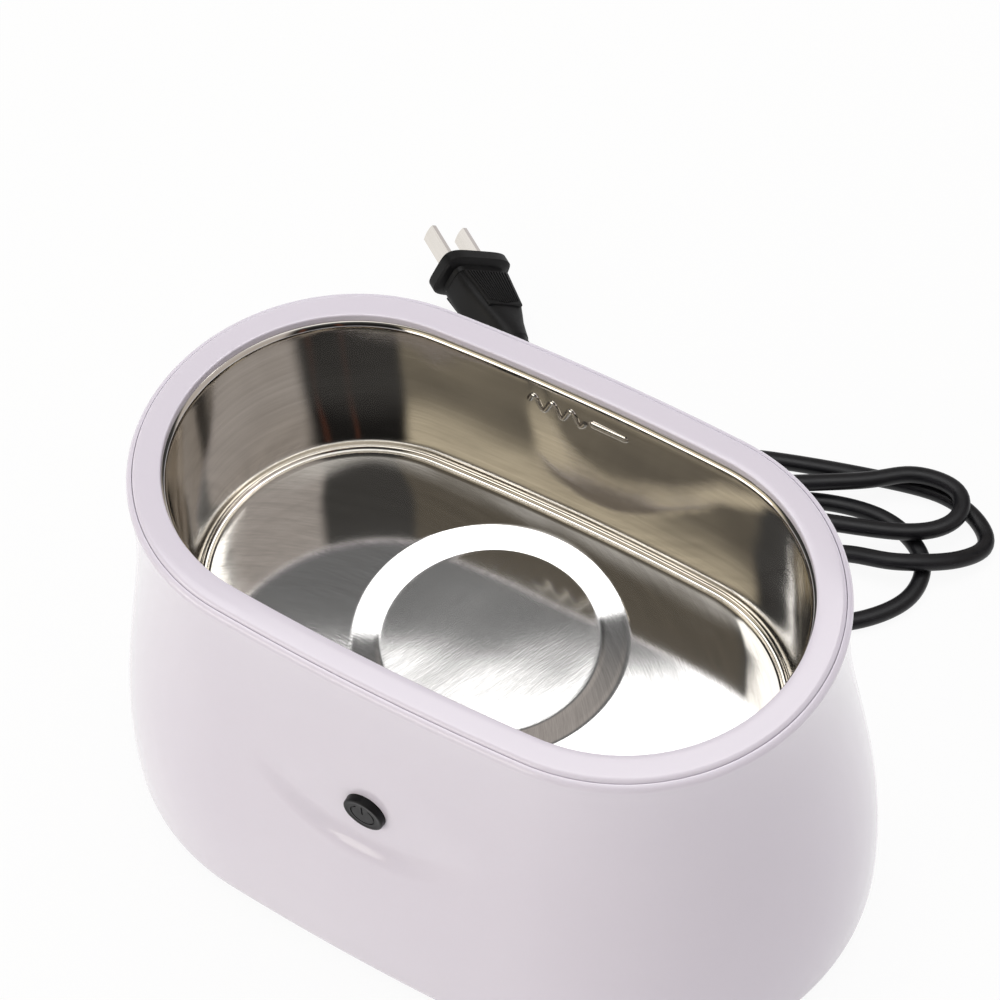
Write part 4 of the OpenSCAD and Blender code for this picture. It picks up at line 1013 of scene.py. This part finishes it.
# floor, lamps and sky
studio = {"floorSize": 8.0, "floorColour": (0.92, 0.92, 0.92), "floorGlow": 0.93,
          "horizon": (0.84, 0.85, 0.95), "skyStrength": 1.0,
          # plain walls round the table: from and to in degrees round from +X, their low part and their high part
          "walls": {"paleWall": (332, 410, (0.60, 0.55, 0.52), (0.70, 0.66, 0.65)),
                    "doorway": (54, 76, (0.05, 0.05, 0.05), (0.40, 0.40, 0.40)),
                    "greyWall": (82, 148, (0.50, 0.46, 0.43), (0.20, 0.20, 0.20)),
                    "darkCorner": (156, 206, (0.05, 0.05, 0.05), (0.10, 0.10, 0.10)),
                    "warmWall": (214, 264, (1.00, 0.90, 0.70), (0.20, 0.18, 0.15)),
                    "darkCurtain": (268, 326, (0.02, 0.02, 0.02), (0.10, 0.10, 0.10))},
          "posts": (300, 321), "postHalf": 1.5, "postColour": (0.20, 0.07, 0.04), "wallEdge": 2,
          "ceiling": (1.30, 1.30, 1.30),
          # heights in degrees up from the floor, where each part blends in
          "lowFrom": (0, 12), "highFrom": (40, 54), "ceilingFrom": (61, 69),
          # name: place, aim, width, height, watts, colour, turn round Z when it faces straight down
          "lamps": {"topPanel": ((-0.259, 0.384, 1.35), (-0.259, 0.384, 0), 1.3, 0.68, 7.2, (1.0, 1.0, 1.0), 34),
                    "fillPanel": ((-0.65, -1.25, 0.48), (0, 0, 0.07), 1.2, 0.5, 5.2, (1.0, 0.985, 0.97), 0)}}


def addWallRing(tree, around, part):
    # one band of the room: the walls' colours side by side, with soft edges
    s = studio
    stops = []
    for begin, end, *colours in s["walls"].values():
        stops += [(begin + s["wallEdge"], colours[part]), (end - s["wallEdge"], colours[part])]
    if part == 0:
        for post in s["posts"]:
            dark, half = s["walls"]["darkCurtain"][2], s["postHalf"]
            stops += [(post - half, dark), (post, s["postColour"]), (post + half, dark)]
    ring = addNode(tree, "ValToRGB", {0: around})
    ring.color_ramp.interpolation = "EASE"
    stops = sorted(((a + 180) % 360 / 360, c) for a, c in stops)
    while len(ring.color_ramp.elements) < len(stops):
        ring.color_ramp.elements.new(0.5)
    for held, (at, colour) in zip(ring.color_ramp.elements, stops):
        held.position = at
    for held, (at, colour) in zip(ring.color_ramp.elements, stops):
        held.color = (*colour, 1)
    return ring.outputs[0]


def addStudio():
    s = studio
    deselectAll()
    bpy.ops.mesh.primitive_plane_add(size=s["floorSize"])
    floor = bpy.context.object
    floor.name = "studioFloor"
    material = bpy.data.materials.new("paperFloor")
    material.use_nodes = True
    tree = material.node_tree
    shade = tree.nodes["Principled BSDF"]
    coords = addNode(tree, "TexCoord")
    paper = addNode(tree, "TexNoise", {"Vector": coords.outputs["Object"]}, Scale=900.0, Detail=2.0)
    tint = addNode(tree, "Mix", {0: paper.outputs[0]}, data_type="RGBA")
    setInputs(tint, {6: (*s["floorColour"], 1), 7: (*[c * 1.02 for c in s["floorColour"]], 1)})
    tree.links.new(tint.outputs[2], shade.inputs["Base Color"])
    setInputs(shade, {"Roughness": 0.9})
    # seen straight or in a polished face the paper is white, and it still takes a faint shadow
    ray = addNode(tree, "LightPath")
    seen = ray.outputs["Is Camera Ray"]
    for kind in ("Is Glossy Ray", "Is Transmission Ray"):
        seen = addNode(tree, "Math", {0: seen, 1: ray.outputs[kind]}, operation="MAXIMUM").outputs[0]
    share = addNode(tree, "Math", {0: seen}, operation="MULTIPLY")
    setInputs(share, {1: s["floorGlow"]})
    glow = addNode(tree, "Emission")
    setInputs(glow, {"Color": (1, 1, 1, 1)})
    blend = addNode(tree, "MixShader", {0: share.outputs[0], 1: shade.outputs[0], 2: glow.outputs[0]})
    tree.links.new(blend.outputs[0], tree.nodes["Material Output"].inputs["Surface"])
    floor.data.materials.append(material)
    for name, (place, aim, wide, high, watts, colour, turned) in s["lamps"].items():
        deselectAll()
        bpy.ops.object.light_add(type="AREA", location=place)
        lamp = bpy.context.object
        lamp.name = name
        lamp.data.shape = "RECTANGLE"
        lamp.data.size, lamp.data.size_y = wide, high
        lamp.data.energy = watts
        lamp.data.color = colour
        lamp.rotation_euler = (Vector(aim) - Vector(place)).to_track_quat("-Z", "Y").to_euler()
        if turned:      # a panel that faces straight down
            lamp.rotation_euler = (0, 0, math.radians(turned))
    world = bpy.context.scene.world or bpy.data.worlds.new("studioSky")
    bpy.context.scene.world = world
    world.use_nodes = True
    tree = world.node_tree
    back = tree.nodes["Background"]
    coords = addNode(tree, "TexCoord")
    parts = addNode(tree, "SeparateXYZ", {0: coords.outputs["Generated"]})
    turn = addNode(tree, "Math", {0: parts.outputs[1], 1: parts.outputs[0]}, operation="ARCTAN2")
    around = addNode(tree, "MapRange", {"Value": turn.outputs[0]})
    setInputs(around, {"From Min": -math.pi, "From Max": math.pi})
    sky = None
    for part, span in enumerate((s["lowFrom"], s["highFrom"], s["ceilingFrom"])):
        rise = addNode(tree, "MapRange", {"Value": parts.outputs[2]}, interpolation_type="SMOOTHSTEP")
        begin, end = (math.sin(math.radians(angle)) for angle in span)
        setInputs(rise, {"From Min": begin, "From Max": end})
        mixed = addNode(tree, "Mix", {0: rise.outputs[0]}, data_type="RGBA")
        if part < 2:
            tree.links.new(addWallRing(tree, around.outputs[0], part), mixed.inputs[7])
        else:
            setInputs(mixed, {7: (*s["ceiling"], 1)})
        if sky:
            tree.links.new(sky.outputs[2], mixed.inputs[6])
        else:
            setInputs(mixed, {6: (*s["horizon"], 1)})
        sky = mixed
    tree.links.new(sky.outputs[2], back.inputs["Color"])
    setInputs(back, {"Strength": s["skyStrength"]})


addStudio()
print("studio lit")
